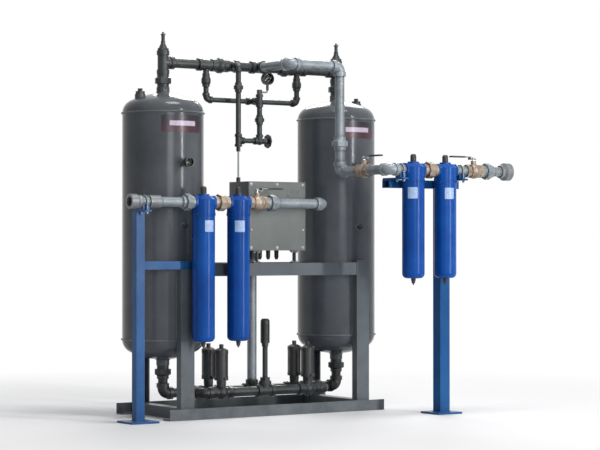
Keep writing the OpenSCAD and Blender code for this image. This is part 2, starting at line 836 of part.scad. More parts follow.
module line_elbows() {
    color(zinc) {
        translate([outlet_x, -outlet_forward, manifold_z]) rotate([-90, 0, 0]) main_elbow();
        translate([drop_x, -outlet_forward, manifold_z]) rotate([0, 180, 0]) main_elbow();
        translate([drop_x, -outlet_forward, after_z]) rotate([0, 0, -90]) main_elbow();
        translate([drop_x, -after_y, after_z]) rotate([-90, 0, 0]) main_elbow();
        translate([return_x, -inlet_y, inlet_z]) rotate([-90, 0, 90]) main_elbow();
        translate([return_x, 0, inlet_z]) rotate([-90, 0, 180]) main_elbow();
        translate([0, 0, inlet_z]) rotate([180, 0, 0]) main_elbow();
    }
}

module line_unions() {
    color(zinc) {
        translate([drop_x, -outlet_forward, drop_union_z]) main_union();
        translate([outlet_union_x, -after_y, after_z]) along_x() main_union();
        translate([-pre_x1 - head_l / 2 - union_l, -inlet_y, inlet_z]) along_x() main_union();
        translate([inlet_valve_x + valve_l / 2, -inlet_y, inlet_z]) along_x() main_union();
    }
}

// Socketed end coupling along +Z, open at the far end
module end_coupling(od) {
    difference() {
        union() {
            cylinder(h = end_l, d = band_od);
            translate([0, 0, end_l - socket_depth]) cylinder(h = socket_depth, d = od);
            translate([0, 0, end_l - socket_depth - end_taper])
                cylinder(h = end_taper, d1 = band_od, d2 = od);
        }
        translate([0, 0, -cut]) cylinder(h = end_l + 2 * cut, d = pipe_id);
        translate([0, 0, end_l - socket_depth]) cylinder(h = socket_depth + cut, d = pipe_od);
    }
}

module end_couplings() {
    color(zinc) {
        translate([outlet_end_x, -after_y, after_z]) along_x() end_coupling(end_od);
        translate([-inlet_x + end_l, -inlet_y, inlet_z]) rotate([0, -90, 0]) end_coupling(inlet_end_od);
        translate([-inlet_joint_x, -inlet_y, inlet_z]) along_x() tube(end_l, band_od, pipe_id);
    }
}

module brass_unions() {
    color(brass) {
        translate([after_x + head_l / 2, -after_y, after_z]) along_x()
            pipe_union(line_brass_l, union_body, pipe_id, union_nut);
        translate([-pre_x1 + head_l / 2, -inlet_y, inlet_z]) along_x()
            pipe_union(line_brass_l, union_body, pipe_id, union_nut);
    }
}

// Place of each filter as [x, y, z of its port axis, length of its bowl]
FILTERS = [
    [-pre_x1, -inlet_y, inlet_z, pre_bowl_l],
    [-pre_x, -inlet_y, inlet_z, pre_bowl_l],
    [after_x, -after_y, after_z, after_bowl_l],
    [after_x2, -after_y, after_z, after_bowl_l]
];

// Half outline of a filter bowl, its top at z = 0
module bowl_outline(r, l, edge) {
    intersection() {
        union() {
            translate([r - edge, -l + edge]) circle(r = edge);
            translate([0, -l]) square([r - edge, l]);
            translate([0, -l + edge]) square([r, l - edge]);
        }
        translate([0, -l]) square([r, l]);
    }
}

// Cast head with an octagonal port on each side, a domed crown and a ribbed skirt
module filter_head() {
    difference() {
        union() {
            translate([0, 0, -head_down]) cylinder(h = head_down + head_up * skirt_share, d = head_od);
            translate([0, 0, head_up * skirt_share])
                cylinder(h = head_up * crown_share, d1 = head_od, d2 = head_od * 0.62);
            cylinder(h = head_up, d = head_od / 2);
            translate([-head_l / 2, 0, 0]) along_x() rotate([0, 0, 180 / 8])
                cylinder(h = head_l, d = band_od + port_extra, $fn = 8);
        }
        translate([-head_l / 2 - cut, 0, 0]) along_x() cylinder(h = head_l / 2 + cut, d = pipe_id);
        translate([0, 0, -head_down - cut]) cylinder(h = head_down + cut, d = well_d);
        translate([head_l / 4, 0, 0]) along_x() cylinder(h = head_l / 4 + cut, d = pipe_id);
        translate([head_l / 4 + well_side / 2, 0, -head_down - cut])
            cylinder(h = head_down + cut, d = well_side);
    }
}

module filter_heads() {
    color(filter_blue) for (f = FILTERS) translate([f[0], f[1], f[2]]) filter_head();
}

// Bowl with a clamp collar at its mouth
module filter_bowl(l) {
    difference() {
        union() {
            rotate_extrude() bowl_outline(bowl_od / 2, l, bowl_edge);
            translate([0, 0, -collar_h]) cylinder(h = collar_h, d = head_od);
        }
        rotate_extrude() translate([0, cut])
            bowl_outline(bowl_od / 2 - bowl_t, l - bowl_t + cut, bowl_edge - bowl_t);
    }
}

module prefilter_bowls() {
    color(filter_blue) for (f = [FILTERS[0], FILTERS[1]])
        translate([f[0], f[1], f[2] - head_down]) filter_bowl(f[3]);
}

module afterfilter_bowls() {
    color(filter_blue) for (f = [FILTERS[2], FILTERS[3]])
        translate([f[0], f[1], f[2] - head_down]) filter_bowl(f[3]);
}

// Hollow cartridge that hangs from the head
module filter_elements() {
    color("white") for (f = FILTERS)
        translate([f[0], f[1], f[2] - head_down - f[3] + element_room])
            tube(f[3] - element_room, element_d, well_d + element_gap);
}

module pressure_drop_indicators() {
    color(black) for (f = FILTERS) translate([f[0], f[1], f[2] + head_up]) stack(indicator_steps);
}

module filter_drains() {
    color(black) for (f = FILTERS)
        translate([f[0], f[1], f[2] - head_down - f[3]]) mirror([0, 0, 1]) stack(drain_steps);
}

// Ball valve along X with its stem on +Z
module valve_body() {
    difference() {
        union() {
            for (x = [-valve_l / 2, valve_l / 2 - end_hex_l])
                translate([x, 0, 0]) along_x() cylinder(h = end_hex_l, d = end_hex_d, $fn = 8);
            translate([-valve_l / 2, 0, 0]) along_x() cylinder(h = valve_l, d = valve_neck_d);
            translate([-valve_l / 4, 0, 0]) along_x() cylinder(h = valve_l / 2, d = valve_waist_d);
            sphere(d = valve_od);
            cylinder(h = lever_z - gland_short, d = stem_d + 2 * gland_wall);
        }
        translate([-valve_l / 2 - cut, 0, 0]) along_x() cylinder(h = valve_l + 2 * cut, d = port_d);
        sphere(d = ball_d + 2 * run_gap);
        cylinder(h = lever_z, d = stem_d + 2 * run_gap);
    }
}

// Place and heading of each ball valve as [x, y, z, turn of the body, turn of the lever]
VALVES = [
    [inlet_valve_x, -inlet_y, inlet_z, 0, 0],
    [drop_x, after_valve_y, after_z, 90, -90],
    [outlet_valve_x, -after_y, after_z, 0, 180]
];

module valve_bodies() {
    color(brass) for (v = VALVES) translate([v[0], v[1], v[2]]) rotate([0, 0, v[3]]) valve_body();
}

// Bored ball with its stem and the reduced end that takes the lever
module valve_ball(v) {
    color("silver") translate([v[0], v[1], v[2]]) rotate([0, 0, v[3]]) difference() {
        union() {
            sphere(d = ball_d);
            cylinder(h = lever_z, d = stem_d);
            cylinder(h = lever_z + lever_t + stem_top, d = stem_end_d);
        }
        translate([-ball_d, 0, 0]) along_x() cylinder(h = 2 * ball_d, d = port_d);
    }
}

module inlet_valve_ball() valve_ball(VALVES[0]);

module after_valve_ball() valve_ball(VALVES[1]);

module outlet_valve_ball() valve_ball(VALVES[2]);

// Cranked flat lever with a round tip, seated on the shoulder of the stem
module valve_lever(v) {
    bar_x = lever_w / 2 + lever_crank;
    color(black) translate([v[0], v[1], v[2] + lever_z]) rotate([0, 0, v[4]]) difference() {
        union() {
            cylinder(h = lever_t, d = lever_w + lever_eye);
            translate([0, -lever_w / 2, 0]) cube([bar_x, lever_w, lever_t]);
            translate([bar_x - lever_t, -lever_w / 2, 0]) cube([lever_t, lever_w, lever_crank]);
            translate([bar_x - lever_t, -lever_w / 2, lever_crank - lever_t])
                cube([lever_l - lever_w / 2 - bar_x + lever_t, lever_w, lever_t]);
            translate([lever_l - lever_w / 2, 0, lever_crank - lever_t]) cylinder(h = lever_t, d = lever_w);
        }
        translate([0, 0, -cut]) cylinder(h = lever_t + 2 * cut, d = stem_end_d + 2 * seat_gap);
    }
}

module inlet_valve_lever() valve_lever(VALVES[0]);

module after_valve_lever() valve_lever(VALVES[1]);

module outlet_valve_lever() valve_lever(VALVES[2]);

// Place of each gauge as [x, y of its back, z, diameter]
GAUGES = [
    [-tower_x, -tower_r - gauge_boss_h - gauge_stem_l, gauge_z, gauge_d],
    [tower_x, -tower_r - gauge_boss_h - gauge_stem_l, gauge_z, gauge_d],
    [purge_gauge_x, purge_y + gauge_depth / 2, purge_gauge_z, purge_gauge_d]
];

// Round case open to the front, its back at the origin and its axis towards -Y
module gauge_case(d) {
    rotate([90, 0, 0]) difference() {
        union() {
            cylinder(h = gauge_depth, d = d - 2 * bezel_lip);
            translate([0, 0, gauge_depth - bezel_h]) cylinder(h = bezel_h, d = d);
        }
        translate([0, 0, case_t]) cylinder(h = gauge_depth, d = d - 2 * bezel_lip - 2 * case_t);
    }
}

module gauge_cases() {
    stem_l = purge_gauge_z - purge_gauge_d / 2 + 2 * bezel_lip - tube_z - tube_bend;
    color(black) {
        for (g = GAUGES) translate([g[0], g[1], g[2]]) gauge_case(g[3]);
        for (i = [0, 1]) translate([GAUGES[i][0], GAUGES[i][1], gauge_z])
            along_y() cylinder(h = gauge_stem_l, d = stem_hex, $fn = 8);
        translate([purge_gauge_x, purge_y, tube_z + tube_bend]) cylinder(h = stem_l, d = gauge_neck);
    }
}

// Dark disc with the pivot of the pointer
module gauge_dials() {
    color(black) for (g = GAUGES) translate([g[0], g[1] - case_t, g[2]]) rotate([90, 0, 0]) {
        cylinder(h = dial_t, d = g[3] - 2 * bezel_lip - 2 * case_t - 2 * seat_gap);
        cylinder(h = dial_t + pointer_lift + pointer_t + pivot_top, d = pivot_d);
    }
}

module gauge_lenses() {
    color("lightcyan", 0.35) for (g = GAUGES)
        translate([g[0], g[1] - gauge_depth + lens_t + bezel_lip, g[2]]) rotate([90, 0, 0])
            cylinder(h = lens_t, d = g[3] - 2 * bezel_lip - 2 * case_t - 2 * seat_gap);
}

// Needle with a round eye and a short tail, at rest on the lowest mark
module pointer(g) {
    long = g[3] * needle_share;
    tail = long / 3;
    eye = pivot_d / 2;
    tip = eye / 4;
    color("white") translate([g[0], g[1] - case_t - dial_t - pointer_lift, g[2]])
        rotate([90, 0, 0]) rotate([0, 0, 225]) difference() {
            union() {
                cylinder(h = pointer_t, d = pivot_d + needle_eye);
                linear_extrude(pointer_t)
                    polygon([[-tail, -eye], [0, -eye], [long, -tip], [long, tip], [0, eye], [-tail, eye]]);
            }
            translate([0, 0, -cut]) cylinder(h = pointer_t + 2 * cut, d = pivot_d + 2 * run_gap);
        }
}

module left_pointer() pointer(GAUGES[0]);

module right_pointer() pointer(GAUGES[1]);

module purge_pointer() pointer(GAUGES[2]);

// Open fronted steel box with a folded lip round its mouth
module control_box() {
    color(box_gray) translate([-box_w / 2, box_front, box_z]) difference() {
        cube([box_w, box_d, box_h]);
        translate([box_t, -cut, box_t]) cube([box_w - 2 * box_t, box_d - box_t + cut, box_h - 2 * box_t]);
        for (x = GLANDS) translate([box_w / 2 + x, box_d - gland_back, -cut])
            cylinder(h = box_t + 2 * cut, d = gland_d / 2);
    }
}

// Flat cover with a turned edge, screwed on the front
module box_cover() {
    inset = box_t + seat_gap;
    color(box_gray) {
        translate([-box_w / 2, box_front - cover_t, box_z]) cube([box_w, cover_t, box_h]);
        translate([-box_w / 2 + inset, box_front - seat_gap, box_z + inset]) difference() {
            cube([box_w - 2 * inset, cover_lip, box_h - 2 * inset]);
            translate([box_t, -cut, box_t])
                cube([box_w - 2 * inset - 2 * box_t, cover_lip + 2 * cut, box_h - 2 * inset - 2 * box_t]);
        }
    }
}

// Two feet on the front mid rail and the clamp that ties the box to the inlet drop
module box_mounts() {
    foot_y = -leg_reach + rail_flange - foot_d;
    color(tower_gray) {
        for (x = [-box_w / 3, box_w / 3]) translate([x - foot_w / 2, foot_y, 0]) {
            translate([0, 0, rail_top]) cube([foot_w, foot_d, steel_t]);
            translate([foot_w / 2 - steel_t / 2, 0, rail_top]) cube([steel_t, foot_d, box_z - rail_top]);
            translate([0, 0, box_z - steel_t]) cube([foot_w, foot_d, steel_t]);
        }
        translate([0, 0, box_z + box_h / 3]) difference() {
            union() {
                cylinder(h = clamp_h, d = pipe_od + 2 * steel_t);
                translate([-foot_w / 2, -box_back, 0]) cube([foot_w, box_back, clamp_h]);
            }
            translate([0, 0, -cut]) cylinder(h = clamp_h + 2 * cut, d = pipe_od + 2 * seat_gap);
        }
    }
}

module cable_glands() {
    color(black) for (x = GLANDS)
        translate([x, -box_back - gland_back, box_z]) mirror([0, 0, 1]) stack(gland_steps);
}

// Elbows and tees that join the tower bottoms, the inlet drop and the exhaust
module lower_fittings() {
    color(pipe_gray) {
        translate([-tower_x, 0, lower_z]) main_elbow();
        translate([tower_x, 0, lower_z]) rotate([0, 0, 180]) main_elbow();
        translate([0, 0, lower_z]) main_tee();
        translate([0, -exhaust_y, lower_z]) main_tee();
        both_sides() translate([exhaust_tee_x, 0, lower_z]) rotate([90, 0, 0]) main_tee();
        translate([-exhaust_tee_x, -exhaust_y, lower_z]) rotate([-90, 0, 0]) main_elbow();
        translate([exhaust_tee_x, -exhaust_y, lower_z]) rotate([-90, 0, 90]) main_elbow();
        translate([0, -exhaust_y, lower_z + fit_reach]) difference() {
            cylinder(h = bushing_h, d = bushing_d, $fn = 6);
            translate([0, 0, -cut]) cylinder(h = bushing_h + 2 * cut, d = purge_id);
        }
    }
}

module lower_pipes() {
    valve_in = switch_x - switch_l / 2;
    color(pipe_gray) {
        both_sides() {
            run_z(tower_x, 0, lower_z + fit_reach, lower_z + fit_reach + lower_nipple);
            run_x(exhaust_tee_x + fit_reach, tower_x - fit_reach, 0, lower_z);
            run_y(exhaust_tee_x, -exhaust_y + fit_reach, -fit_reach, lower_z);
            for (y = [0, -exhaust_y]) run_x(fit_reach, valve_in, y, lower_z);
        }
        run_z(0, -exhaust_y, lower_z + fit_reach + bushing_h, lower_z + fit_reach + bushing_h + riser_l,
              purge_od, purge_id);
    }
}

// Globe body along X with a bonnet on +Z
module switching_valve() {
    difference() {
        union() {
            translate([-switch_l / 2, 0, 0]) along_x() cylinder(h = switch_l, d = fit_od);
            for (x = [-switch_l / 2, switch_l / 2 - band_l])
                translate([x, 0, 0]) along_x() cylinder(h = band_l, d = band_od, $fn = 8);
            sphere(d = globe_d);
            cylinder(h = bonnet_h - bonnet_neck, d = fit_od - seat_web);
            translate([0, 0, bonnet_h - bonnet_nut_h]) cylinder(h = bonnet_nut_h, d = fit_od, $fn = 6);
        }
        for (side = [-1, 1]) translate([side * (switch_l / 4 + seat_web / 2), 0, 0]) along_x()
            cylinder(h = switch_l / 2, d = pipe_id, center = true);
    }
}

module switching_valves() {
    color(pipe_gray) both_sides() for (y = [0, -exhaust_y])
        translate([switch_x, y, lower_z]) switching_valve();
}

// Piston actuator with flanged ends, an air port and a position cap
module actuators() {
    color(black) both_sides() for (y = [0, -exhaust_y])
        translate([switch_x, y, lower_z + bonnet_h]) {
            stack(actuator_steps);
            translate([0, 0, flange_h / 2]) rotate([90, 0, 0])
                cylinder(h = actuator_d / 2 + air_port_l, d = air_port_d, $fn = 6);
        }
}

// Porous silencer on the exhaust riser
module muffler() {
    z = lower_z + fit_reach + bushing_h + riser_l;
    color(black) translate([0, -exhaust_y, z]) stack(muffler_steps);
}

// Square tube along +Z
module post_tube(w, z1, z2) {
    translate([-w / 2, -w / 2, z1]) difference() {
        cube([w, w, z2 - z1]);
        translate([post_t, post_t, -cut]) cube([w - 2 * post_t, w - 2 * post_t, z2 - z1 + 2 * cut]);
    }
}

module posts() {
    color(post_blue) {
        translate([post_x, post_y, 0]) post_tube(post_w, plate_t, after_saddle_z - plate_t - arm_h);
        translate([inlet_post_x, inlet_post_y, 0])
            post_tube(inlet_post_w, plate_t, inlet_saddle_z - plate_t);
    }
}

module post_bases() {
    pitch = plate_w - 2 * plate_margin;
    color(post_blue) for (p = [[post_x, post_y], [inlet_post_x, inlet_post_y]])
        translate([p[0], p[1], 0]) difference() {
            translate([-plate_w / 2, -plate_w / 2, 0]) cube([plate_w, plate_w, plate_t]);
            for (x = [-pitch / 2, pitch / 2], y = [-pitch / 2, pitch / 2])
                translate([x, y, -cut]) cylinder(h = plate_t + 2 * cut, d = anchor_d);
        }
}

// Cross arm on top of the afterfilter post
module filter_arm() {
    x1 = drop_x + fit_reach;
    x2 = outlet_valve_x - valve_l / 2 + arm_over;
    color(post_blue) translate([x1, post_y - post_w / 2, after_saddle_z - plate_t - arm_h]) difference() {
        cube([x2 - x1, post_w, arm_h]);
        translate([-cut, post_t, post_t])
            cube([x2 - x1 + 2 * cut, post_w - 2 * post_t, arm_h - 2 * post_t]);
    }
}

// Place of each pipe support as [x, y of the pipe, y of the far edge, z of the plate top]
SADDLES = [
    [(drop_x + fit_reach + after_x - head_l / 2) / 2, -after_y, post_y + post_w / 2, after_saddle_z],
    [(after_x2 + head_l / 2 + outlet_valve_x - valve_l / 2) / 2, -after_y, post_y + post_w / 2,
        after_saddle_z],
    [inlet_post_x, -inlet_y, inlet_post_y + inlet_post_w / 2, inlet_saddle_z]
];

// Shelf plates, each with a cradle for the pipe and holes for its U-bolt
module pipe_saddles() {
    color(post_blue) for (s = SADDLES) {
        front = s[1] - bolt_r - bolt_nut;
        difference() {
            union() {
                translate([s[0] - saddle_w / 2, front, s[3] - plate_t])
                    cube([saddle_w, s[2] - front, plate_t]);
                translate([s[0] - saddle_w / 2, s[1] - pipe_od * 0.4, s[3]])
                    cube([saddle_w, pipe_od * 0.8, cradle_h + pipe_od / 4]);
            }
            translate([s[0] - saddle_w, s[1], s[3] + cradle_h + pipe_od / 2]) along_x()
                cylinder(h = 2 * saddle_w, d = pipe_od + 2 * seat_gap);
            for (side = [-1, 1]) translate([s[0], s[1] + side * bolt_r, s[3] - plate_t - cut])
                cylinder(h = plate_t + 2 * cut, d = bolt_rod + 2 * seat_gap);
        }
    }
}

// Bent rods over the pipes with a nut under each end
module u_bolts() {
    color(zinc) for (s = SADDLES) {
        axis_z = s[3] + cradle_h + pipe_od / 2;
        foot_z = s[3] - plate_t - bolt_nut_h - bolt_tail;
        translate([s[0], s[1], axis_z]) rotate([90, 0, 90])
            rotate_extrude(angle = 180) translate([bolt_r, 0]) circle(d = bolt_rod);
        for (side = [-1, 1]) translate([s[0], s[1] + side * bolt_r, foot_z]) {
            cylinder(h = axis_z - foot_z, d = bolt_rod);
            translate([0, 0, bolt_tail]) cylinder(h = bolt_nut_h, d = bolt_nut, $fn = 6);
        }
    }
}

// Flat bar from the inlet post to the front left leg
module brace_bar() {
    x1 = inlet_post_x + inlet_post_w / 2;
    color(post_blue) translate([x1, -leg_reach - steel_t, leg_top - brace_h])
        cube([-tower_x + leg_w / 2 - x1, steel_t, brace_h]);
}

tower_left();
tower_right();
desiccant_beds();
bed_screens();
port_plugs();
legs();
mid_rails();
base_rails();
base_ties();
tower_unions();
manifold_tees();
outlet_check_valves();
manifold_pipes();
relief_valves();
purge_check_valves();
purge_pipes();
purge_fittings();
purge_valve_body();
purge_stem();
purge_handwheel();
small_tubing();
line_pipes();
line_elbows();
line_unions();
end_couplings();
brass_unions();
filter_heads();
prefilter_bowls();
afterfilter_bowls();
filter_elements();
pressure_drop_indicators();
filter_drains();
valve_bodies();
inlet_valve_ball();
after_valve_ball();
outlet_valve_ball();
inlet_valve_lever();
after_valve_lever();
outlet_valve_lever();
gauge_cases();
gauge_dials();
gauge_lenses();
left_pointer();
right_pointer();
purge_pointer();
control_box();
box_cover();
box_mounts();
cable_glands();
lower_fittings();
lower_pipes();
switching_valves();
actuators();
muffler();
posts();
post_bases();
filter_arm();
pipe_saddles();
u_bolts();
brace_bar();
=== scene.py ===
import json
import math
import bmesh
import bpy
from mathutils import Matrix, Vector


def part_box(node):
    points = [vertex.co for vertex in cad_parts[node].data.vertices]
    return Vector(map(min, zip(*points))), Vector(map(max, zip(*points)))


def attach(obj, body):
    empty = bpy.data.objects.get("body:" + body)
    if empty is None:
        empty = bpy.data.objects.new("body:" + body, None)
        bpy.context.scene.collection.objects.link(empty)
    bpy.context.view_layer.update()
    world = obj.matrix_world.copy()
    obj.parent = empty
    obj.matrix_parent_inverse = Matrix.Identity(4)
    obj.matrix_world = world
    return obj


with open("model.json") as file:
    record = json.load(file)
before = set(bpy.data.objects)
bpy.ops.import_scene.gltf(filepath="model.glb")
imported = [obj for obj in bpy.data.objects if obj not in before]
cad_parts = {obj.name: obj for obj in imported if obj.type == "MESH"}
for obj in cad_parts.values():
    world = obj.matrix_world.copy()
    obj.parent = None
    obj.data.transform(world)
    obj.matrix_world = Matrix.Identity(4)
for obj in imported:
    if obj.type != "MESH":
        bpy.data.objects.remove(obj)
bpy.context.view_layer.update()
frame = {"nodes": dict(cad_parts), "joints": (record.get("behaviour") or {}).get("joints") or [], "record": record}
nodes = frame["nodes"]
scene = bpy.context.scene
MM = 0.001

# Directions; the front faces -Y
UP = (0, 0, 1)
DOWN = (0, 0, -1)
FORWARD = (0, -1, 0)
BACKWARD = (0, 1, 0)
RIGHT = (1, 0, 0)


# Places that several pieces share, read from the solids, in millimetres

def corners(node):
    """Lowest and highest corner of a node."""
    low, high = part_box(node)
    return low / MM, high / MM


def anchor(body):
    """Place of the joint that a moving body turns on."""
    joint = next(j for j in frame["joints"] if j["child"] == body)
    return Vector(joint["pos_m"]) / MM


SEAM = 1.5  # the seam rings of the solids stand this far proud of the shell
tower_low, tower_high = corners("tower_right")
TOWER_X = (tower_low.x + tower_high.x) / 2
TOWER_R = (tower_high.x - tower_low.x) / 2 - SEAM
SHELL_LOW, SHELL_TOP = [corner.z for corner in corners("bed_screens")]  # the screens lie at the seams
DISH_R, KNUCKLE_R = 365.0, 70.0
HEAD_H = DISH_R - math.sqrt((DISH_R - KNUCKLE_R) ** 2 - (TOWER_R - KNUCKLE_R) ** 2)

# Plain plate on each tower front, with one pale band
PLATE_WIDE, PLATE_TALL, PLATE_THICK = 226.0, 84.0, 1.2
PLATE_DROP, BAND_DROP = 17.0, 41.0  # upper seam to the plate's top, and that to the band's middle
PLATE_TOP = SHELL_TOP - PLATE_DROP
BAND_WIDE, BAND_TALL = 144.0, 24.0
BAND_Z = PLATE_TOP - BAND_DROP

# Filters: the middle of the top of each bowl
bowls_low, bowls_high = corners("prefilter_bowls")
COLLAR_R = (bowls_high.y - bowls_low.y) / 2
FILTERS = []
for bowls in ("prefilter_bowls", "afterfilter_bowls"):
    bowls_low, bowls_high = corners(bowls)
    for bowl_x in (bowls_low.x + COLLAR_R, bowls_high.x - COLLAR_R):
        FILTERS.append((bowl_x, (bowls_low.y + bowls_high.y) / 2, bowls_high.z))


# Colours and materials: noise scales count per metre, depths and radii are in metres

EDGE = 0.0012  # radius that shading gives to the edges of the solids
ROUND_SAMPLES = 4
EDGE_FROM, EDGE_TO = 0.97, 0.82  # dot of rounded and true normal where wear starts and where it is full
WEAR_RADIUS = 0.0022
COAT_ROUGH = 0.2
DUST_HEIGHT = 0.35  # dust from the floor reaches up to here


def rgb(code):
    """Linear colour of an sRGB hex code."""
    parts = [int(code[i:i + 2], 16) / 255 for i in (1, 3, 5)]
    return [c / 12.92 if c <= 0.04045 else ((c + 0.055) / 1.055) ** 2.4 for c in parts] + [1.0]


class Maker:
    """A material's node tree with short helpers for its parts."""

    def __init__(self, name, rough, metallic=0.0, coat=0.0, shine=0.5):
        self.mat = bpy.data.materials.new(name)
        self.mat.use_nodes = True
        self.tree = self.mat.node_tree
        self.bsdf = self.tree.nodes["Principled BSDF"]
        self.bsdf.inputs["Roughness"].default_value = rough
        self.bsdf.inputs["Metallic"].default_value = metallic
        self.bsdf.inputs["Specular IOR Level"].default_value = shine
        self.bsdf.inputs["Coat Weight"].default_value = coat
        self.bsdf.inputs["Coat Roughness"].default_value = COAT_ROUGH
        self.coord = self.node("TexCoord").outputs["Object"]

    def node(self, kind, **values):
        """New shader node with some of its inputs set."""
        n = self.tree.nodes.new("ShaderNode" + kind)
        for key, value in values.items():
            n.inputs[key].default_value = value
        return n

    def link(self, a, b):
        self.tree.links.new(a, b)

    def noise(self, scale, detail=4.0, rough=0.55, stretch=None):
        n = self.node("TexNoise", Scale=scale, Detail=detail, Roughness=rough)
        if stretch:
            m = self.node("Mapping", Scale=stretch)
            self.link(self.coord, m.inputs["Vector"])
            self.link(m.outputs["Vector"], n.inputs["Vector"])
        else:
            self.link(self.coord, n.inputs["Vector"])
        return n.outputs["Fac"]

    def cells(self, scale):
        n = self.node("TexVoronoi", Scale=scale)
        self.link(self.coord, n.inputs["Vector"])
        return n

    def wave(self, scale, direction="X"):
        n = self.node("TexWave", Scale=scale)
        n.bands_direction = direction
        self.link(self.coord, n.inputs["Vector"])
        return n.outputs["Fac"]

    def ramp(self, fac, stops):
        """Colour for a value, from (position, code) pairs."""
        n = self.node("ValToRGB")
        line = n.color_ramp.elements
        while len(line) < len(stops):
            line.new(0.5)
        for e, (pos, code) in zip(line, stops):
            e.position = pos
            e.color = rgb(code)
        self.link(fac, n.inputs["Fac"])
        return n.outputs["Color"]

    def span(self, fac, lo, hi, to=(0.0, 1.0)):
        """Stretches the values from lo to hi over the range in to."""
        n = self.node("MapRange", **{"From Min": lo, "From Max": hi, "To Min": to[0], "To Max": to[1]})
        self.link(fac, n.inputs["Value"])
        return n.outputs["Result"]

    def math(self, how, a, b):
        n = self.node("Math")
        n.operation = how
        for socket, value in zip(n.inputs, (a, b)):
            if isinstance(value, (int, float)):
                socket.default_value = value
            else:
                self.link(value, socket)
        return n.outputs["Value"]

    def times(self, a, b):
        return self.math("MULTIPLY", a, b)

    def mix(self, fac, a, b):
        """Colour that goes from a to b; each is a code or a socket."""
        n = self.node("Mix")
        n.data_type = "RGBA"
        self.link(fac, n.inputs["Factor"])
        for socket, value in ((n.inputs[6], a), (n.inputs[7], b)):
            if isinstance(value, str):
                socket.default_value = rgb(value)
            else:
                self.link(value, socket)
        return n.outputs[2]

    def axis(self, name):
        n = self.node("SeparateXYZ")
        self.link(self.coord, n.inputs["Vector"])
        return n.outputs[name]

    def facing_up(self, lo, hi):
        """One where a face looks up, nothing where it is upright."""
        g = self.node("NewGeometry")
        n = self.node("SeparateXYZ")
        self.link(g.outputs["Normal"], n.inputs["Vector"])
        return self.span(n.outputs["Z"], lo, hi)

    def rounded(self, radius):
        """Normal with the edges rounded by a radius."""
        n = self.node("Bevel", Radius=radius)
        n.samples = ROUND_SAMPLES
        return n.outputs["Normal"]

    def edges(self, radius):
        """One along outer edges: where a rounded normal leaves the true one."""
        true = self.node("NewGeometry")
        dot = self.node("VectorMath")
        dot.operation = "DOT_PRODUCT"
        self.link(self.rounded(radius), dot.inputs[0])
        self.link(true.outputs["True Normal"], dot.inputs[1])
        return self.span(dot.outputs["Value"], EDGE_FROM, EDGE_TO)

    def bump(self, height, depth, strength, edge=EDGE):
        """Height field over edges rounded by a small radius, or left sharp where edge is 0."""
        n = self.node("Bump", Strength=strength, Distance=depth)
        self.link(height, n.inputs["Height"])
        if edge:
            self.link(self.rounded(edge), n.inputs["Normal"])
        self.link(n.outputs["Normal"], self.bsdf.inputs["Normal"])

    def done(self, colour, rough=None):
        self.link(colour, self.bsdf.inputs["Base Color"])
        if rough is not None:
            self.link(rough, self.bsdf.inputs["Roughness"])
        return self.mat


def paint(name, dark, mid, light, rough, dust="#8d8c88", peel=260, coat=0.1, dusty=0.35, shine=0.3,
          wear="#8a8f92"):
    """Sprayed enamel: clouds of tone, orange peel, rubbed edges, dust on ledges and along the foot."""
    m = Maker(name, rough, coat=coat, shine=shine)
    cloud = m.ramp(m.noise(3.2, detail=6, rough=0.6), [(0.30, dark), (0.5, mid), (0.72, light)])
    runs = m.span(m.noise(9, detail=3, rough=0.5, stretch=(1, 1, 0.12)), 0.55, 0.8)
    streaked = m.mix(m.times(runs, 0.25), cloud, dark)
    ledge = m.times(m.facing_up(0.35, 0.95), m.span(m.noise(24, detail=5), 0.3, 0.75))
    near_floor = m.span(m.axis("Z"), DUST_HEIGHT, 0.0)
    foot = m.times(near_floor, m.span(m.noise(15, detail=6, rough=0.7), 0.42, 0.8))
    dirt = m.times(m.math("MAXIMUM", ledge, foot), dusty)
    chips = m.span(m.noise(48, detail=5, rough=0.7), 0.42, 0.66, to=(0.0, 0.55))
    worn = m.times(m.edges(WEAR_RADIUS), chips)
    colour = m.mix(worn, m.mix(dirt, streaked, dust), wear)
    m.bump(m.noise(peel, detail=2), depth=0.0006, strength=0.12)
    gloss = m.span(m.noise(14, detail=5, rough=0.65), 0.25, 0.8, to=(rough * 0.8, rough * 1.3))
    return m.done(colour, gloss)


def iron(name, dark, mid, light, rough):
    """Painted rough iron for fittings, pipe and weld beads; faces that look up get dust and a painted highlight.
    """
    m = Maker(name, rough, coat=0.05, shine=0.3)
    cloud = m.ramp(m.noise(11, detail=6, rough=0.65), [(0.28, dark), (0.5, mid), (0.75, light)])
    # Lighter tone on faces that look up: partly dust, partly a painted highlight along the tops of pipes.
    dust = m.times(m.facing_up(0.3, 0.95), m.span(m.noise(40), 0.35, 0.7, to=(0.0, 0.45)))
    colour = m.mix(dust, cloud, "#7b7d7c")
    grit = m.math("ADD", m.noise(420, detail=3), m.times(m.noise(90, detail=3), 0.8))
    m.bump(grit, depth=0.0007, strength=0.35, edge=0.0015)
    return m.done(colour, m.span(m.noise(30), 0.3, 0.75, to=(rough * 0.85, rough * 1.25)))


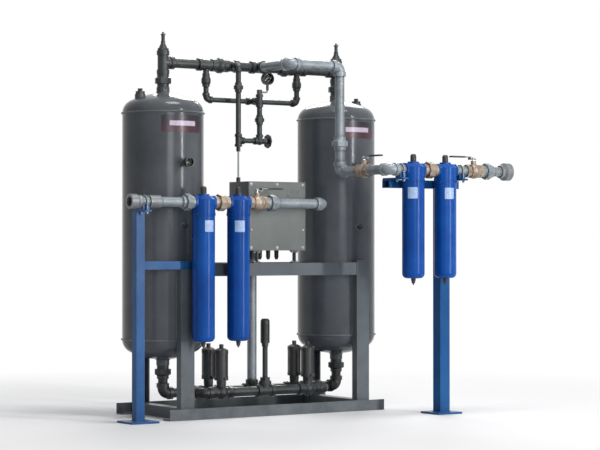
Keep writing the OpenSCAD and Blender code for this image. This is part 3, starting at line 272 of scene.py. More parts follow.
def galvanised(name, low="#616a6f", high="#828b91", crystal=120, bloomed="#939a9f"):
    """Zinc coat: faint crystals, a dull bloom and small stains."""
    m = Maker(name, 0.42, metallic=0.35)
    tone = m.node("SeparateColor")
    m.link(m.cells(crystal).outputs["Color"], tone.inputs["Color"])
    cloud = m.ramp(m.noise(9, detail=5, rough=0.6), [(0.3, low), (0.7, high)])
    spangle = m.mix(m.span(tone.outputs[0], 0, 1, to=(0.0, 0.17)), cloud, "#adb3b8")
    bloom = m.span(m.noise(26, detail=6, rough=0.65), 0.5, 0.8, to=(0.0, 0.4))
    stain = m.span(m.noise(38, detail=6, rough=0.7), 0.64, 0.82, to=(0.0, 0.45))
    colour = m.mix(stain, m.mix(bloom, spangle, bloomed), "#77746f")
    m.bump(m.noise(190, detail=3), depth=0.0004, strength=0.2)
    return m.done(colour, m.span(tone.outputs[1], 0, 1, to=(0.38, 0.5)))


def brass(name):
    """Dull cast brass: tan with browner patches and brighter worn spots."""
    m = Maker(name, 0.42, metallic=0.5)
    tones = [(0.28, "#6c5d4e"), (0.5, "#8f8172"), (0.75, "#aa9d8e")]
    cloud = m.ramp(m.noise(20, detail=6, rough=0.65), tones)
    dull = m.span(m.noise(60, detail=5, rough=0.7), 0.5, 0.8, to=(0.0, 0.5))
    colour = m.mix(dull, cloud, "#80766b")
    m.bump(m.noise(330, detail=3), depth=0.0006, strength=0.25, edge=0.0014)
    return m.done(colour, m.span(m.noise(45, detail=5), 0.3, 0.75, to=(0.34, 0.56)))


def moulded(name, dark, light, rough, grain=700):
    """Plastic or a plain coat with a fine grain and a little dust."""
    m = Maker(name, rough)
    cloud = m.ramp(m.noise(25, detail=5, rough=0.6), [(0.3, dark), (0.7, light)])
    dust = m.times(m.facing_up(0.4, 1.0), m.span(m.noise(60), 0.35, 0.75, to=(0.0, 0.3)))
    colour = m.mix(dust, cloud, "#77766f")
    m.bump(m.noise(grain, detail=2), depth=0.0004, strength=0.3)
    return m.done(colour, m.span(m.noise(40), 0.3, 0.7, to=(rough * 0.85, rough * 1.2)))


def polished(name):
    """Bright plated ball with faint turning marks."""
    m = Maker(name, 0.12, metallic=1.0)
    colour = m.ramp(m.noise(40), [(0.3, "#c3c6c9"), (0.7, "#e4e6e8")])
    m.bump(m.noise(200, detail=2, rough=0.5, stretch=(1, 1, 12)), depth=0.0002, strength=0.1, edge=0)
    return m.done(colour)


def beads(name):
    """Packed desiccant beads, lighter in the middle of each bead and darker where the beads meet, a painted shade.
    """
    m = Maker(name, 0.7)
    away = m.cells(240).outputs["Distance"]
    # Painted shade: the colour darkens from each bead's middle towards where it meets the next.
    colour = m.ramp(away, [(0.0, "#f1ede2"), (0.7, "#b9b19d")])
    m.bump(m.math("SUBTRACT", 1.0, away), depth=0.003, strength=0.8, edge=0)
    return m.done(colour)


def mesh_wire(name):
    """Woven wire: two sets of bands that cross, pale along the wires and dark in the gaps between them, a painted
    shade.
    """
    m = Maker(name, 0.4, metallic=0.8)
    lattice = m.math("MAXIMUM", m.wave(90, "X"), m.wave(90, "Y"))
    # Painted shade: the gaps between the wires are dark.
    colour = m.ramp(lattice, [(0.35, "#3d3f41"), (0.8, "#b5b8bb")])
    m.bump(lattice, depth=0.001, strength=0.7, edge=0)
    return m.done(colour)


def pleats(name):
    """Folded filter media, darker in the valley of each fold, a painted shade in the creases."""
    m = Maker(name, 0.85)
    folds = m.wave(60)
    # Painted shade: the colour darkens into the valleys of the folds.
    colour = m.ramp(folds, [(0.0, "#c9c8c2"), (1.0, "#f3f2ee")])
    m.bump(folds, depth=0.002, strength=0.7, edge=0)
    return m.done(colour)


def dial_face(name):
    """Satin black dial."""
    m = Maker(name, 0.45, coat=0.2)
    colour = m.ramp(m.noise(30), [(0.3, "#131416"), (0.7, "#1e2022")])
    m.bump(m.noise(900, detail=2), depth=0.0002, strength=0.1, edge=0)
    return m.done(colour)


def window(name):
    """Thin gauge window; its low index keeps lamp reflections off the dial."""
    m = Maker(name, 0.04)
    m.bsdf.inputs["Transmission Weight"].default_value = 1.0
    m.bsdf.inputs["IOR"].default_value = 1.14
    colour = m.ramp(m.noise(18), [(0.3, "#f2f7f8"), (0.7, "#ffffff")])
    m.bump(m.noise(35, detail=2), depth=0.0001, strength=0.05, edge=0)
    return m.done(colour)


def plate_print(name, top, foot, band):
    """Plain plate on both tower fronts: a dark ground that shades downwards, with one bare pale band."""
    m = Maker(name, 0.35, coat=0.2, shine=0.3)
    blur = 0.0015
    rise = m.math("SUBTRACT", m.axis("Z"), BAND_Z * MM)
    side = m.math("SUBTRACT", m.math("ABSOLUTE", m.axis("X"), 0.0), TOWER_X * MM)
    inside = []
    for way, length in ((side, BAND_WIDE), (rise, BAND_TALL)):
        half = length / 2 * MM
        inside.append(m.span(m.math("ABSOLUTE", way, 0.0), half + blur, half - blur))
    ground = m.mix(m.span(rise, -0.03, 0.02), foot, top)
    scuff = m.span(m.noise(70, detail=5, rough=0.7), 0.6, 0.85, to=(0.0, 0.35))
    colour = m.mix(scuff, m.mix(m.times(*inside), ground, band), "#857c84")
    m.bump(m.noise(300, detail=2), depth=0.0003, strength=0.15, edge=0.0006)
    return m.done(colour)


def sticker(name, pale, shade):
    """Printed film without words."""
    m = Maker(name, 0.5, coat=0.15)
    cloud = m.ramp(m.noise(60, detail=5, rough=0.6), [(0.3, shade), (0.65, pale)])
    m.bump(m.noise(500, detail=2), depth=0.0002, strength=0.15, edge=0.0004)
    return m.done(cloud, m.span(m.noise(90, detail=3), 0.3, 0.7, to=(0.42, 0.6)))


TOWER = paint("tower_enamel", "#40454a", "#4b4f54", "#565a5f", 0.17, coat=0.0, shine=0.2, dusty=0.3)
FRAME = paint("frame_enamel", "#484f55", "#535a60", "#5f666c", 0.42, coat=0.03, shine=0.2)
IRON = iron("pipe_enamel", "#202425", "#2b2f31", "#3a3e40", 0.36)
ZINC = galvanised("galvanised_pipe")
DULL_ZINC = galvanised("weathered_coupling", "#5a5d60", "#7b7e82", 90, "#8a8c8f")
BRASS = brass("cast_brass")
FILTER = paint("filter_enamel", "#06377f", "#084491", "#1252a2", 0.23, dust="#3f62a0", peel=420,
               coat=0.02, dusty=0.05, shine=0.13, wear="#3f69b0")
POST = paint("post_enamel", "#114377", "#184f86", "#225b93", 0.34, dust="#4f6c8a", coat=0.03,
             dusty=0.2, shine=0.14, wear="#4f789f")
PLASTIC = moulded("black_plastic", "#131315", "#222225", 0.5)
BLACK = moulded("black_coat", "#141517", "#26282b", 0.42, 420)
LEVER = galvanised("plated_lever", "#63666a", "#83868a", 240, "#909396")
GRIP = moulded("lever_sleeve", "#1a1b1e", "#2b2d31", 0.55, 900)
BALL = polished("polished_ball")
DIAL = dial_face("dial_face")
GLASS = window("gauge_window")
NEEDLE = moulded("needle_white", "#dcdcd6", "#f0f0ec", 0.45)
BOX = paint("box_powder", "#545958", "#5e6362", "#696e6d", 0.4, peel=600)
BEADS = beads("desiccant_beads")
SCREEN = mesh_wire("wire_screen")
MEDIA = pleats("filter_media")
INK = moulded("dial_ink", "#d4d4ce", "#ecece8", 0.6)
PLATE = plate_print("plain_plate", "#1b1823", "#3d1c2a", "#b3a6b8")
LABEL = sticker("filter_label", "#9db5d8", "#859ec4")
BLANK = sticker("box_label", "#5d6163", "#4b4f51")
WELD = iron("weld_bead", "#474c4b", "#565b5a", "#646968", 0.4)
SCREW = galvanised("screw_zinc", "#9a9da2", "#c4c7cb", 420, "#b4b7bb")

SLOT_MATERIAL = {
    "tower_paint": TOWER, "frame_paint": FRAME, "pipe_paint": IRON, "zinc": ZINC, "brass": BRASS,
    "filter_blue": FILTER, "post_blue": POST, "black_plastic": PLASTIC, "black_paint": BLACK,
    "lever_steel": LEVER, "ball_chrome": BALL, "dial_face": DIAL, "lens": GLASS, "needle": NEEDLE,
    "box_paint": BOX, "desiccant": BEADS, "screen_steel": SCREEN, "element": MEDIA,
}
NODE_MATERIAL = {"end_couplings": DULL_ZINC}  # nodes that differ from the rest of their slot
SOLID_CREASE, PIECE_CREASE = 32, 38  # edges sharper than this many degrees stay sharp


def shade(mesh, mat, crease):
    """Gives a mesh its material and smooth shading up to the crease angle."""
    mesh.materials.clear()
    mesh.materials.append(mat)
    mesh.polygons.foreach_set("use_smooth", [True] * len(mesh.polygons))
    mesh.set_sharp_from_angle(angle=math.radians(crease))


for part in frame["record"]["subparts"]:
    mat = NODE_MATERIAL.get(part["node"], SLOT_MATERIAL[part["material_slot"]])
    shade(nodes[part["node"]].data, mat, SOLID_CREASE)


# Mesh helpers: every shape is built in place, in millimetres, and scaled on the way out

NEARLY_UPRIGHT = 0.9
HEX = 6  # sides of nuts and bolt heads


def frame_for(axis):
    """Unit vector along axis and two directions square to it."""
    a = Vector(axis).normalized()
    side = Vector(UP) if abs(a.z) < NEARLY_UPRIGHT else Vector(RIGHT)
    u = side.cross(a).normalized()
    return a, u, a.cross(u)


def angles(n):
    """Full turn in n equal steps."""
    return [2 * math.pi * i / n for i in range(n)]


def circle(centre, axis, r, n):
    """Points of a circle round axis."""
    _, u, v = frame_for(axis)
    c = Vector(centre)
    return [c + (u * math.cos(t) + v * math.sin(t)) * r for t in angles(n)]


def lathe(bm, origin, axis, profile, seg):
    """Revolves (radius, distance) pairs round axis; a pair with radius 0 closes the end."""
    a = frame_for(axis)[0]
    o = Vector(origin)
    rows = []
    for r, d in profile:
        ring = circle(o + a * d, axis, r, seg) if r else [o + a * d]
        rows.append([bm.verts.new(p) for p in ring])
    for low, high in zip(rows, rows[1:]):
        for i in range(seg):
            j = (i + 1) % seg
            face = [low[i % len(low)], low[j % len(low)], high[j % len(high)], high[i % len(high)]]
            face = [p for k, p in enumerate(face) if p not in face[:k]]
            if len(face) > 2:
                bm.faces.new(face)


def sweep(bm, points, radius, seg=8, closed=False):
    """Tube along points; radius is a number or a function of the point's index."""
    n = len(points)
    pts = [Vector(p) for p in points]
    rings = []
    u = None
    for i, p in enumerate(pts):
        before = pts[i - 1] if (closed or i) else p
        after = pts[(i + 1) % n] if (closed or i < n - 1) else p
        t = (after - before).normalized()
        u = frame_for(t)[1] if u is None else (u - t * u.dot(t)).normalized()
        v = t.cross(u)
        r = radius(i) if callable(radius) else radius
        rings.append([bm.verts.new(p + (u * math.cos(q) + v * math.sin(q)) * r) for q in angles(seg)])
    last = n if closed else n - 1
    for i in range(last):
        a, b = rings[i], rings[(i + 1) % n]
        for k in range(seg):
            j = (k + 1) % seg
            bm.faces.new((a[k], a[j], b[j], b[k]))
    if not closed:
        bm.faces.new(rings[0][::-1])
        bm.faces.new(rings[-1])


def steps_between(start, end, n):
    """Points from start to end in n equal steps."""
    a, b = Vector(start), Vector(end)
    return [a + (b - a) * k / n for k in range(n + 1)]


def ripple(size, swell=0.5):
    """Radius along a weld bead, which swells once every four points."""
    return lambda i: size + swell * math.cos(i * math.pi / 2)


def slab(bm, corner, size, turn=None):
    """Box from a corner, with its edges cut back by a share of its thickness."""
    cut_share = 0.2
    part = bmesh.new()
    bmesh.ops.create_cube(part, size=1.0)
    for vert in part.verts:
        vert.co = Vector(corner) + Vector([(c + 0.5) * s for c, s in zip(vert.co, size)])
    bmesh.ops.bevel(part, geom=part.edges[:], offset=min(size) * cut_share, segments=2, affect="EDGES")
    if turn:
        part.transform(turn)
    keep = bpy.data.meshes.new("slab")
    part.to_mesh(keep)
    part.free()
    bm.from_mesh(keep)
    bpy.data.meshes.remove(keep)


def patch(bm, axis_xy, r, heading, width, z0, z1, thick, cut=6.0):
    """Curved plate on a cylinder; heading 0 faces -Y and grows towards +X; corners are cut round."""
    columns, rows = 20, 5
    lift = 0.05  # keeps the back of the plate off the cylinder
    half = width / 2
    edges = []
    for i in range(columns + 1):
        s = -half + width * i / columns
        into_corner = max(cut - (half - abs(s)), 0.0)
        inset = cut - math.sqrt(max(cut * cut - into_corner * into_corner, 0))
        edges.append((s, z0 + inset, z1 - inset))
    outer, inner = [], []
    for layer, store in ((r + thick, outer), (r + lift, inner)):
        for s, lo, hi in edges:
            t = math.radians(heading) + s / r
            x = axis_xy[0] + layer * math.sin(t)
            y = axis_xy[1] - layer * math.cos(t)
            store.append([bm.verts.new((x, y, lo + (hi - lo) * k / rows)) for k in range(rows + 1)])
    for i in range(columns):
        for k in range(rows):
            bm.faces.new((outer[i][k], outer[i + 1][k], outer[i + 1][k + 1], outer[i][k + 1]))
            bm.faces.new((inner[i][k + 1], inner[i + 1][k + 1], inner[i + 1][k], inner[i][k]))
        bm.faces.new((outer[i][0], inner[i][0], inner[i + 1][0], outer[i + 1][0]))
        bm.faces.new((inner[i][rows], outer[i][rows], outer[i + 1][rows], inner[i + 1][rows]))
    for k in range(rows):
        bm.faces.new((inner[0][k], outer[0][k], outer[0][k + 1], inner[0][k + 1]))
        bm.faces.new((outer[-1][k], inner[-1][k], inner[-1][k + 1], outer[-1][k + 1]))


def piece(name, bm, mat, body="root"):
    """Turns a built shape into an object that rides on a body."""
    bmesh.ops.recalc_face_normals(bm, faces=bm.faces[:])
    bm.transform(Matrix.Scale(MM, 4))
    mesh = bpy.data.meshes.new(name)
    bm.to_mesh(mesh)
    bm.free()
    shade(mesh, mat, PIECE_CREASE)
    obj = bpy.data.objects.new(name, mesh)
    scene.collection.objects.link(obj)
    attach(obj, body)


def islands(node):
    """Lowest and highest corner of each separate solid in a node."""
    same_place = 1e-6
    bm = bmesh.new()
    bm.from_mesh(nodes[node].data)
    bmesh.ops.remove_doubles(bm, verts=bm.verts[:], dist=same_place)
    for vert in bm.verts:
        vert.tag = False
    found = []
    for first in bm.verts:
        if first.tag:
            continue
        first.tag = True
        solid = [first]
        for vert in solid:
            for other in [edge.other_vert(vert) for edge in vert.link_edges]:
                if not other.tag:
                    other.tag = True
                    solid.append(other)
        low = Vector([min(vert.co[i] for vert in solid) for i in range(3)])
        high = Vector([max(vert.co[i] for vert in solid) for i in range(3)])
        found.append((low / MM, high / MM))
    bm.free()
    return found


# Plain plates on the tower fronts
for side, x in (("left", -TOWER_X), ("right", TOWER_X)):
    bm = bmesh.new()
    patch(bm, (x, 0), TOWER_R, 0, PLATE_WIDE, PLATE_TOP - PLATE_TALL, PLATE_TOP, PLATE_THICK)
    piece("tower_plate_" + side, bm, PLATE)

# Plain labels on the filter bowls, each turned by its own angle in degrees
COLLAR_STEP = 1.5  # the collar stands this far proud of the bowl
BOWL_R = COLLAR_R - COLLAR_STEP
LABEL_WIDE, LABEL_TALL, LABEL_THICK, LABEL_CUT = 50.0, 56.0, 0.4, 3.0
LABEL_DROP = 38.0  # from the top of the bowl to the top of the label
LABEL_HEADINGS = (2, -24, -40, -14)
bm = bmesh.new()
for (x, y, top), heading in zip(FILTERS, LABEL_HEADINGS):
    high = top - LABEL_DROP
    patch(bm, (x, y), BOWL_R, heading, LABEL_WIDE, high - LABEL_TALL, high, LABEL_THICK, LABEL_CUT)
piece("filter_labels", bm, LABEL)

# Grip ribs round the collars of the filter bowls
RIBS = 40
RIB_DEEP, RIB_WIDE, RIB_TALL = 1.9, 3.4, 12.0
RIB_SUNK = 0.4  # depth of a rib's root inside the collar
RIB_DROP = 14.0  # from the top of the bowl to the foot of a rib
bm = bmesh.new()
for x, y, top in FILTERS:
    for t in angles(RIBS):
        turn = Matrix.Translation((x, y, top - RIB_DROP)) @ Matrix.Rotation(t, 4, "Z")
        slab(bm, (COLLAR_R - RIB_SUNK, -RIB_WIDE / 2, 0), (RIB_DEEP, RIB_WIDE, RIB_TALL), turn)
piece("collar_ribs", bm, FILTER)


# Rippled weld beads on the towers

def round_bead(bm, centre, axis, r, n, weld):
    """Bead in a ring of n points."""
    sweep(bm, circle(centre, axis, r, n), weld, closed=True)


def upright_bead(bm, x, y, low, top, weld):
    """Bead straight up from low to top."""
    step = 3.0
    line = steps_between((x, y, low), (x, y, top), round((top - low) / step))
    sweep(bm, line, weld)


SEAM_WELD, NOZZLE_WELD, BOSS_WELD = ripple(4.6), ripple(3.6), ripple(2.4, 0.4)
LEG_WELD, LONG_WELD = ripple(3.2), ripple(3.8)
SEAM_OUT, LEG_OUT, LONG_OUT, BOSS_OUT = 1.2, 1.0, 0.4, 0.6  # bead middles beyond the shell
NOZZLE_R, NOZZLE_SUNK = 33.5, 1.5
BOSS_R = 13.4
BOSS_HEIGHTS = (anchor("left_needle").z, (SHELL_LOW + SHELL_TOP) / 2)
LONG_SEAM = math.radians(135)  # from the front round to the back, where each shell is welded shut
leg_high = corners("legs")[1]
LEG_HALF = leg_high.x - TOWER_X
LEG_BEAD_LOW, LEG_BEAD_TOP = SHELL_LOW + 7.0, leg_high.z - 5.0

bm = bmesh.new()
for x in (-TOWER_X, TOWER_X):
    for z in (SHELL_LOW, SHELL_TOP):
        round_bead(bm, (x, 0, z), UP, TOWER_R + SEAM_OUT, n=360, weld=SEAM_WELD)
    for z in (SHELL_TOP + HEAD_H - NOZZLE_SUNK, SHELL_LOW - HEAD_H + NOZZLE_SUNK):
        round_bead(bm, (x, 0, z), UP, NOZZLE_R, n=120, weld=NOZZLE_WELD)
    for z in BOSS_HEIGHTS:
        round_bead(bm, (x, -TOWER_R - BOSS_OUT, z), BACKWARD, BOSS_R, n=60, weld=BOSS_WELD)
    leg_y = math.sqrt((TOWER_R + LEG_OUT) ** 2 - LEG_HALF ** 2)
    for leg_x in (x - LEG_HALF, x + LEG_HALF):
        for y in (-leg_y, leg_y):
            upright_bead(bm, leg_x, y, LEG_BEAD_LOW, LEG_BEAD_TOP, LEG_WELD)
    turn = math.copysign(LONG_SEAM, x)
    seam_x = x + (TOWER_R + LONG_OUT) * math.sin(turn)
    seam_y = -(TOWER_R + LONG_OUT) * math.cos(turn)
    upright_bead(bm, seam_x, seam_y, SHELL_LOW, SHELL_TOP, LONG_WELD)
piece("weld_beads", bm, WELD)

# Weld beads of the stand: mid rails on the legs, ties on the base rails
rail_low, rail_high = corners("mid_rails")
tie_high = corners("base_ties")[1]
RAIL_WELD, TIE_WELD = ripple(3.0), ripple(2.8)
RAIL_LIP = 34.0  # length of the bead along the rail's upper flange
RAIL_BEAD_LOW, RAIL_BEAD_TOP = rail_low.z + 3.0, rail_high.z - 1.0
TIE_BEAD_FROM, TIE_BEAD_TO = tie_high.x - 59.0, tie_high.x - 1.4
BEAD_STEPS = 24
bm = bmesh.new()
for front in (-1, 1):
    for side in (-1, 1):
        rail_x = side * rail_high.x
        rail_y = front * rail_high.y
        bend = (rail_x, rail_y, RAIL_BEAD_TOP)
        foot = (rail_x, rail_y, RAIL_BEAD_LOW)
        lip = (rail_x, rail_y - front * RAIL_LIP, RAIL_BEAD_TOP)
        sweep(bm, steps_between(foot, bend, BEAD_STEPS), RAIL_WELD)
        sweep(bm, steps_between(bend, lip, BEAD_STEPS), RAIL_WELD)
        tie_ends = [(side * x, front * tie_high.y, tie_high.z) for x in (TIE_BEAD_FROM, TIE_BEAD_TO)]
        sweep(bm, steps_between(*tie_ends, BEAD_STEPS), TIE_WELD)
piece("frame_welds", bm, FRAME)

# Weld beads round the foot of both posts
AFTER_POST, INLET_POST = 60.0, 45.0  # sides of the square tubes
POST_WELD, POST_OUT, SIDE_STEPS = ripple(3.4), 0.6, 16
posts_low, posts_high = corners("posts")
foot_top = corners("post_bases")[1].z
POSTS = [
    (posts_high.x - AFTER_POST / 2, posts_low.y + AFTER_POST / 2, AFTER_POST),
    (posts_low.x + INLET_POST / 2, posts_high.y - INLET_POST / 2, INLET_POST),
]
bm = bmesh.new()
for x, y, wide in POSTS:
    half = wide / 2 + POST_OUT
    turns = [(-half, -half), (half, -half), (half, half), (-half, half)]
    ring = [(x + dx, y + dy, foot_top) for dx, dy in turns]
    line = []
    for start, end in zip(ring, ring[1:] + ring[:1]):
        line += steps_between(start, end, SIDE_STEPS)[:-1]
    sweep(bm, line, POST_WELD, closed=True)
piece("post_welds", bm, POST)

# Bolts through the feet of the control box
cover_low, cover_high = corners("box_cover")
FOOT_X = round((cover_high.x - cover_low.x) / 3, 1)  # a third of the box width, to 0.1 mm
FOOT_THICK = 6.0
BOLT_APART, BOLT_BACK = 25.0, 13.0  # between the bolts of a foot, and back from its front edge
BOLT_Y = corners("box_mounts")[0].y + BOLT_BACK
BOLT_SEATS = ((rail_high.z + FOOT_THICK, UP), (cover_low.z - FOOT_THICK, DOWN))
BOLT_WASHER = [(6.8, -0.2), (6.8, 1.2), (4.0, 1.2)]
BOLT_HEAD = [(5.8, 1.2), (5.8, 5.4), (4.9, 6.2), (0, 6.2)]
bm = bmesh.new()
for foot_x in (-FOOT_X, FOOT_X):
    for x in (foot_x - BOLT_APART / 2, foot_x + BOLT_APART / 2):
        for z, way in BOLT_SEATS:
            lathe(bm, (x, BOLT_Y, z), way, BOLT_WASHER, seg=24)
            lathe(bm, (x, BOLT_Y, z), way, BOLT_HEAD, seg=HEX)
piece("foot_bolts", bm, SCREW)


# Exposed threads where each pipe screws into a fitting

COARSE, FINE, FINE_BELOW = 2.2, 1.8, 20.0  # pitches, and the pipe radius below which a thread is fine
THREAD_START, THREAD_SUNK, THREAD_SIZE = 0.8, 0.1, 0.9
THREAD_STEPS = 24  # points in one turn
RUN_OUT, RUN_OUT_SIZE = 30, 0.25  # points over which a thread fades, and the share that is left
FRONT_TO_BACK = 1  # index of the Y axis


def pipe_runs(node):
    """Both ends, radius and axis index of each pipe; it lies along the axis whose other two sizes agree."""
    runs = []
    for low, high in islands(node):
        size = high - low
        along = min(range(3), key=lambda i: abs(size[i - 1] - size[i - 2]))
        radius = max(size[along - 1], size[along - 2]) / 2
        start, end = (low + high) / 2, (low + high) / 2
        start[along], end[along] = low[along], high[along]
        runs.append((start, end, radius, along))
    return runs


def helix(end, into, r, pitch, count):
    """Thread from the end of a pipe, with count turns along into."""
    _, u, v = frame_for(into)
    line = []
    for i in range(count * THREAD_STEPS + 1):
        t = 2 * math.pi * i / THREAD_STEPS
        spoke = (u * math.cos(t) + v * math.sin(t)) * (r - THREAD_SUNK)
        line.append(end + into * (THREAD_START + pitch * i / THREAD_STEPS) + spoke)
    return line


def threads(bm, node, turns, plain_axis=None):
    """Threads at both ends of each pipe; the short nipples along plain_axis stay plain."""
    for start, end, r, along in pipe_runs(node):
        pitch = COARSE if r > FINE_BELOW else FINE
        way = (end - start).normalized()
        count = min(turns, int((end - start).length / 2 / pitch) - 1)
        if along == plain_axis or count < 1:
            continue
        for place, into in ((start, way), (end, -way)):
            line = helix(place, into, r, pitch, count)
            n = len(line)
            sweep(bm, line, lambda i: THREAD_SIZE * min(1.0, RUN_OUT_SIZE + (n - i) / RUN_OUT), seg=4)


bm = bmesh.new()
for node in ("manifold_pipes", "lower_pipes", "purge_pipes"):
    threads(bm, node, turns=4, plain_axis=FRONT_TO_BACK)
piece("pipe_threads_dark", bm, IRON)
bm = bmesh.new()
threads(bm, "line_pipes", turns=5)
piece("pipe_threads_zinc", bm, ZINC)


# Screws on the box cover, with washers at the corners and at the middle of the top and foot

COVER_INSET, SIDE_INSET = 15.0, 104.0
COVER_WASHER = [(7.5, -0.2), (7.5, 0.9), (6.9, 1.2), (5.2, 1.2)]
SCREW_HEAD = [(5.2, 2.6), (4.4, 3.6), (2.8, 4.1), (2.7, 2.2), (0, 2.2)]
SCREW_R, ON_WASHER, ON_COVER = 5.2, 0.8, -0.2


def cover_screw(bm, x, z, foot):
    """Socket screw whose head starts at foot."""
    lathe(bm, (x, cover_low.y, z), FORWARD, [(SCREW_R, foot)] + SCREW_HEAD, seg=28)


screw_left, screw_right = cover_low.x + COVER_INSET, cover_high.x - COVER_INSET
bm = bmesh.new()
for x in (screw_left, (screw_left + screw_right) / 2, screw_right):
    for z in (cover_low.z + COVER_INSET, cover_high.z - COVER_INSET):
        lathe(bm, (x, cover_low.y, z), FORWARD, COVER_WASHER, seg=28)
        cover_screw(bm, x, z, ON_WASHER)
for z in (cover_low.z + SIDE_INSET, cover_high.z - SIDE_INSET):
    for x in (screw_left, screw_right):
        cover_screw(bm, x, z, ON_COVER)
piece("cover_screws", bm, SCREW)

# Plain label on the box cover
BLANK_WIDE, BLANK_TALL, BLANK_THICK, BLANK_PROUD = 74.0, 34.0, 1.0, 0.8
BLANK_RIGHT, BLANK_TOP = cover_high.x - 38.0, cover_high.z - 42.0
bm = bmesh.new()
blank_corner = (BLANK_RIGHT - BLANK_WIDE, cover_low.y - BLANK_PROUD, BLANK_TOP - BLANK_TALL)
slab(bm, blank_corner, (BLANK_WIDE, BLANK_THICK, BLANK_TALL))
piece("box_plate", bm, BLANK)

# Lever nuts and dipped sleeves, built for an arm along +X and turned by an angle in degrees
LEVER_HEADINGS = {"inlet_lever": 0, "after_lever": -90, "outlet_lever": 180}
LEVER_LOW = corners("inlet_valve_lever")[0].z - anchor("inlet_lever").z
LEVER_THICK = 5.0
LEVER_WASHER = [(10.5, 0), (10.5, 1.4), (4.6, 1.4)]
LEVER_NUT = [(8.6, 1.4), (8.6, 6.4), (7.4, 7.6), (4.6, 7.6)]
SLEEVE_LONG, SLEEVE_WIDE, SLEEVE_THICK = 89.0, 25.2, 7.8
SLEEVE_START, SLEEVE_RISE = 58.0, 9.6
for body, heading in LEVER_HEADINGS.items():
    turn = Matrix.Translation(anchor(body)) @ Matrix.Rotation(math.radians(heading), 4, "Z")
    seat = (0, 0, LEVER_LOW + LEVER_THICK)
    bm = bmesh.new()
    lathe(bm, seat, UP, LEVER_WASHER, seg=32)
    lathe(bm, seat, UP, LEVER_NUT, seg=HEX)
    bm.transform(turn)
    piece(body + "_nut", bm, SCREW, body)
    bm = bmesh.new()
    sleeve_corner = (SLEEVE_START, -SLEEVE_WIDE / 2, LEVER_LOW + SLEEVE_RISE)
    slab(bm, sleeve_corner, (SLEEVE_LONG, SLEEVE_WIDE, SLEEVE_THICK))
    bm.transform(turn)
    piece(body + "_sleeve", bm, GRIP, body)


# Dial marks, numbers and pointer caps; lengths on a dial are shares of its span

DIAL_SPANS = {"left": 45.0, "right": 45.0, "purge": 55.0}
DIAL_BACK = 2.0  # from the pointer's joint back to the dial
DIAL_FIRST, DIAL_SWEEP = 225.0, 270.0  # degrees
MARKS, MARKS_PER_MAJOR, ARC_STEPS = 40, 5, 60
MARK_TIP, ARC_R, NUMBER_R = 0.45, 0.455, 0.30
MAJOR_MARK, MINOR_MARK = (0.085, 0.018), (0.05, 0.008)  # length and width
MARK_THICK, MARK_PROUD = 0.3, 0.25
ARC_SIZE, ARC_PROUD = 0.28, 0.05
NUMBERS, NUMBER_STEP, NUMBER_SIZE = 4, 50, 0.105
NUMBER_THICK, NUMBER_PROUD = 0.08, 0.1
HUB, HUB_PROUD = [(3.9, 0), (3.9, 0.8), (3.2, 1.4), (2.2, 1.4)], 3.3


def dial_angle(share):
    """Direction on a dial at a share of its scale, from +X towards +Z."""
    return math.radians(DIAL_FIRST - DIAL_SWEEP * share)


def on_dial(place, share, r, proud):
    """Point at a share of the scale and a radius, in front of the dial."""
    t = dial_angle(share)
    return Vector((place.x + math.cos(t) * r, place.y - proud, place.z + math.sin(t) * r))


def dial_marks(bm, place, span):
    """Scale marks, and the arc along their tips."""
    for k in range(MARKS + 1):
        long, wide = [share * span for share in (MINOR_MARK if k % MARKS_PER_MAJOR else MAJOR_MARK)]
        turn = Matrix.Translation(place) @ Matrix.Rotation(-dial_angle(k / MARKS), 4, "Y")
        slab(bm, (span * MARK_TIP - long, -MARK_PROUD, -wide / 2), (long, MARK_THICK, wide), turn)
    arc = [on_dial(place, k / ARC_STEPS, span * ARC_R, ARC_PROUD) for k in range(ARC_STEPS + 1)]
    sweep(bm, arc, ARC_SIZE, seg=4)


def dial_number(name, words, place, size):
    """Number on a dial, facing forward."""
    curve = bpy.data.curves.new("dial_number", "FONT")
    curve.body = words
    curve.size = size * MM
    curve.extrude = NUMBER_THICK * MM
    curve.align_x = "CENTER"
    curve.align_y = "CENTER"
    curve.materials.append(INK)
    text = bpy.data.objects.new(name, curve)
    scene.collection.objects.link(text)
    text.matrix_world = Matrix.Translation(place * MM) @ Matrix.Rotation(math.pi / 2, 4, "X")
    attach(text, "root")


for name, span in DIAL_SPANS.items():
    needle = name + "_needle"
    dial = anchor(needle) + Vector(BACKWARD) * DIAL_BACK
    bm = bmesh.new()
    dial_marks(bm, dial, span)
    piece("dial_marks_" + name, bm, INK)
    for k in range(NUMBERS + 1):
        place = on_dial(dial, k / NUMBERS, span * NUMBER_R, NUMBER_PROUD)
        dial_number(f"dial_number_{name}_{k}", str(k * NUMBER_STEP), place, span * NUMBER_SIZE)
    bm = bmesh.new()
    lathe(bm, dial + Vector(FORWARD) * HUB_PROUD, FORWARD, HUB, seg=24)
    piece("needle_hub_" + name, bm, NEEDLE, needle)


# Cap screws and tie rods of the actuators

ACTUATOR_R = 35.0
SCREW_CIRCLE, ROD_CIRCLE = 29.0, 32.6
CAP_SCREW = [(4.4, -0.5), (4.4, 3.6), (3.9, 4.2), (2.2, 4.2), (2.2, 2.0), (0, 2.0)]
ROD_R, ROD_LONG = 1.9, 116.0
actuators_low, actuators_high = corners("actuators")
CAP_Z, ROD_Z = actuators_low.z + 150.0, actuators_low.z + 17.0
muffler_low, muffler_high = corners("muffler")
muffler_y = (muffler_low.y + muffler_high.y) / 2


def actuator_points(r, z):
    """Four points round each of the four actuators; the front row stands in line with the muffler."""
    actuator_x = actuators_high.x - ACTUATOR_R
    points = []
    for x in (-actuator_x, actuator_x):
        for y in (actuators_high.y - ACTUATOR_R, muffler_y):
            for t in [math.radians(45 + 90 * k) for k in range(4)]:
                points.append((x + r * math.cos(t), y + r * math.sin(t), z))
    return points


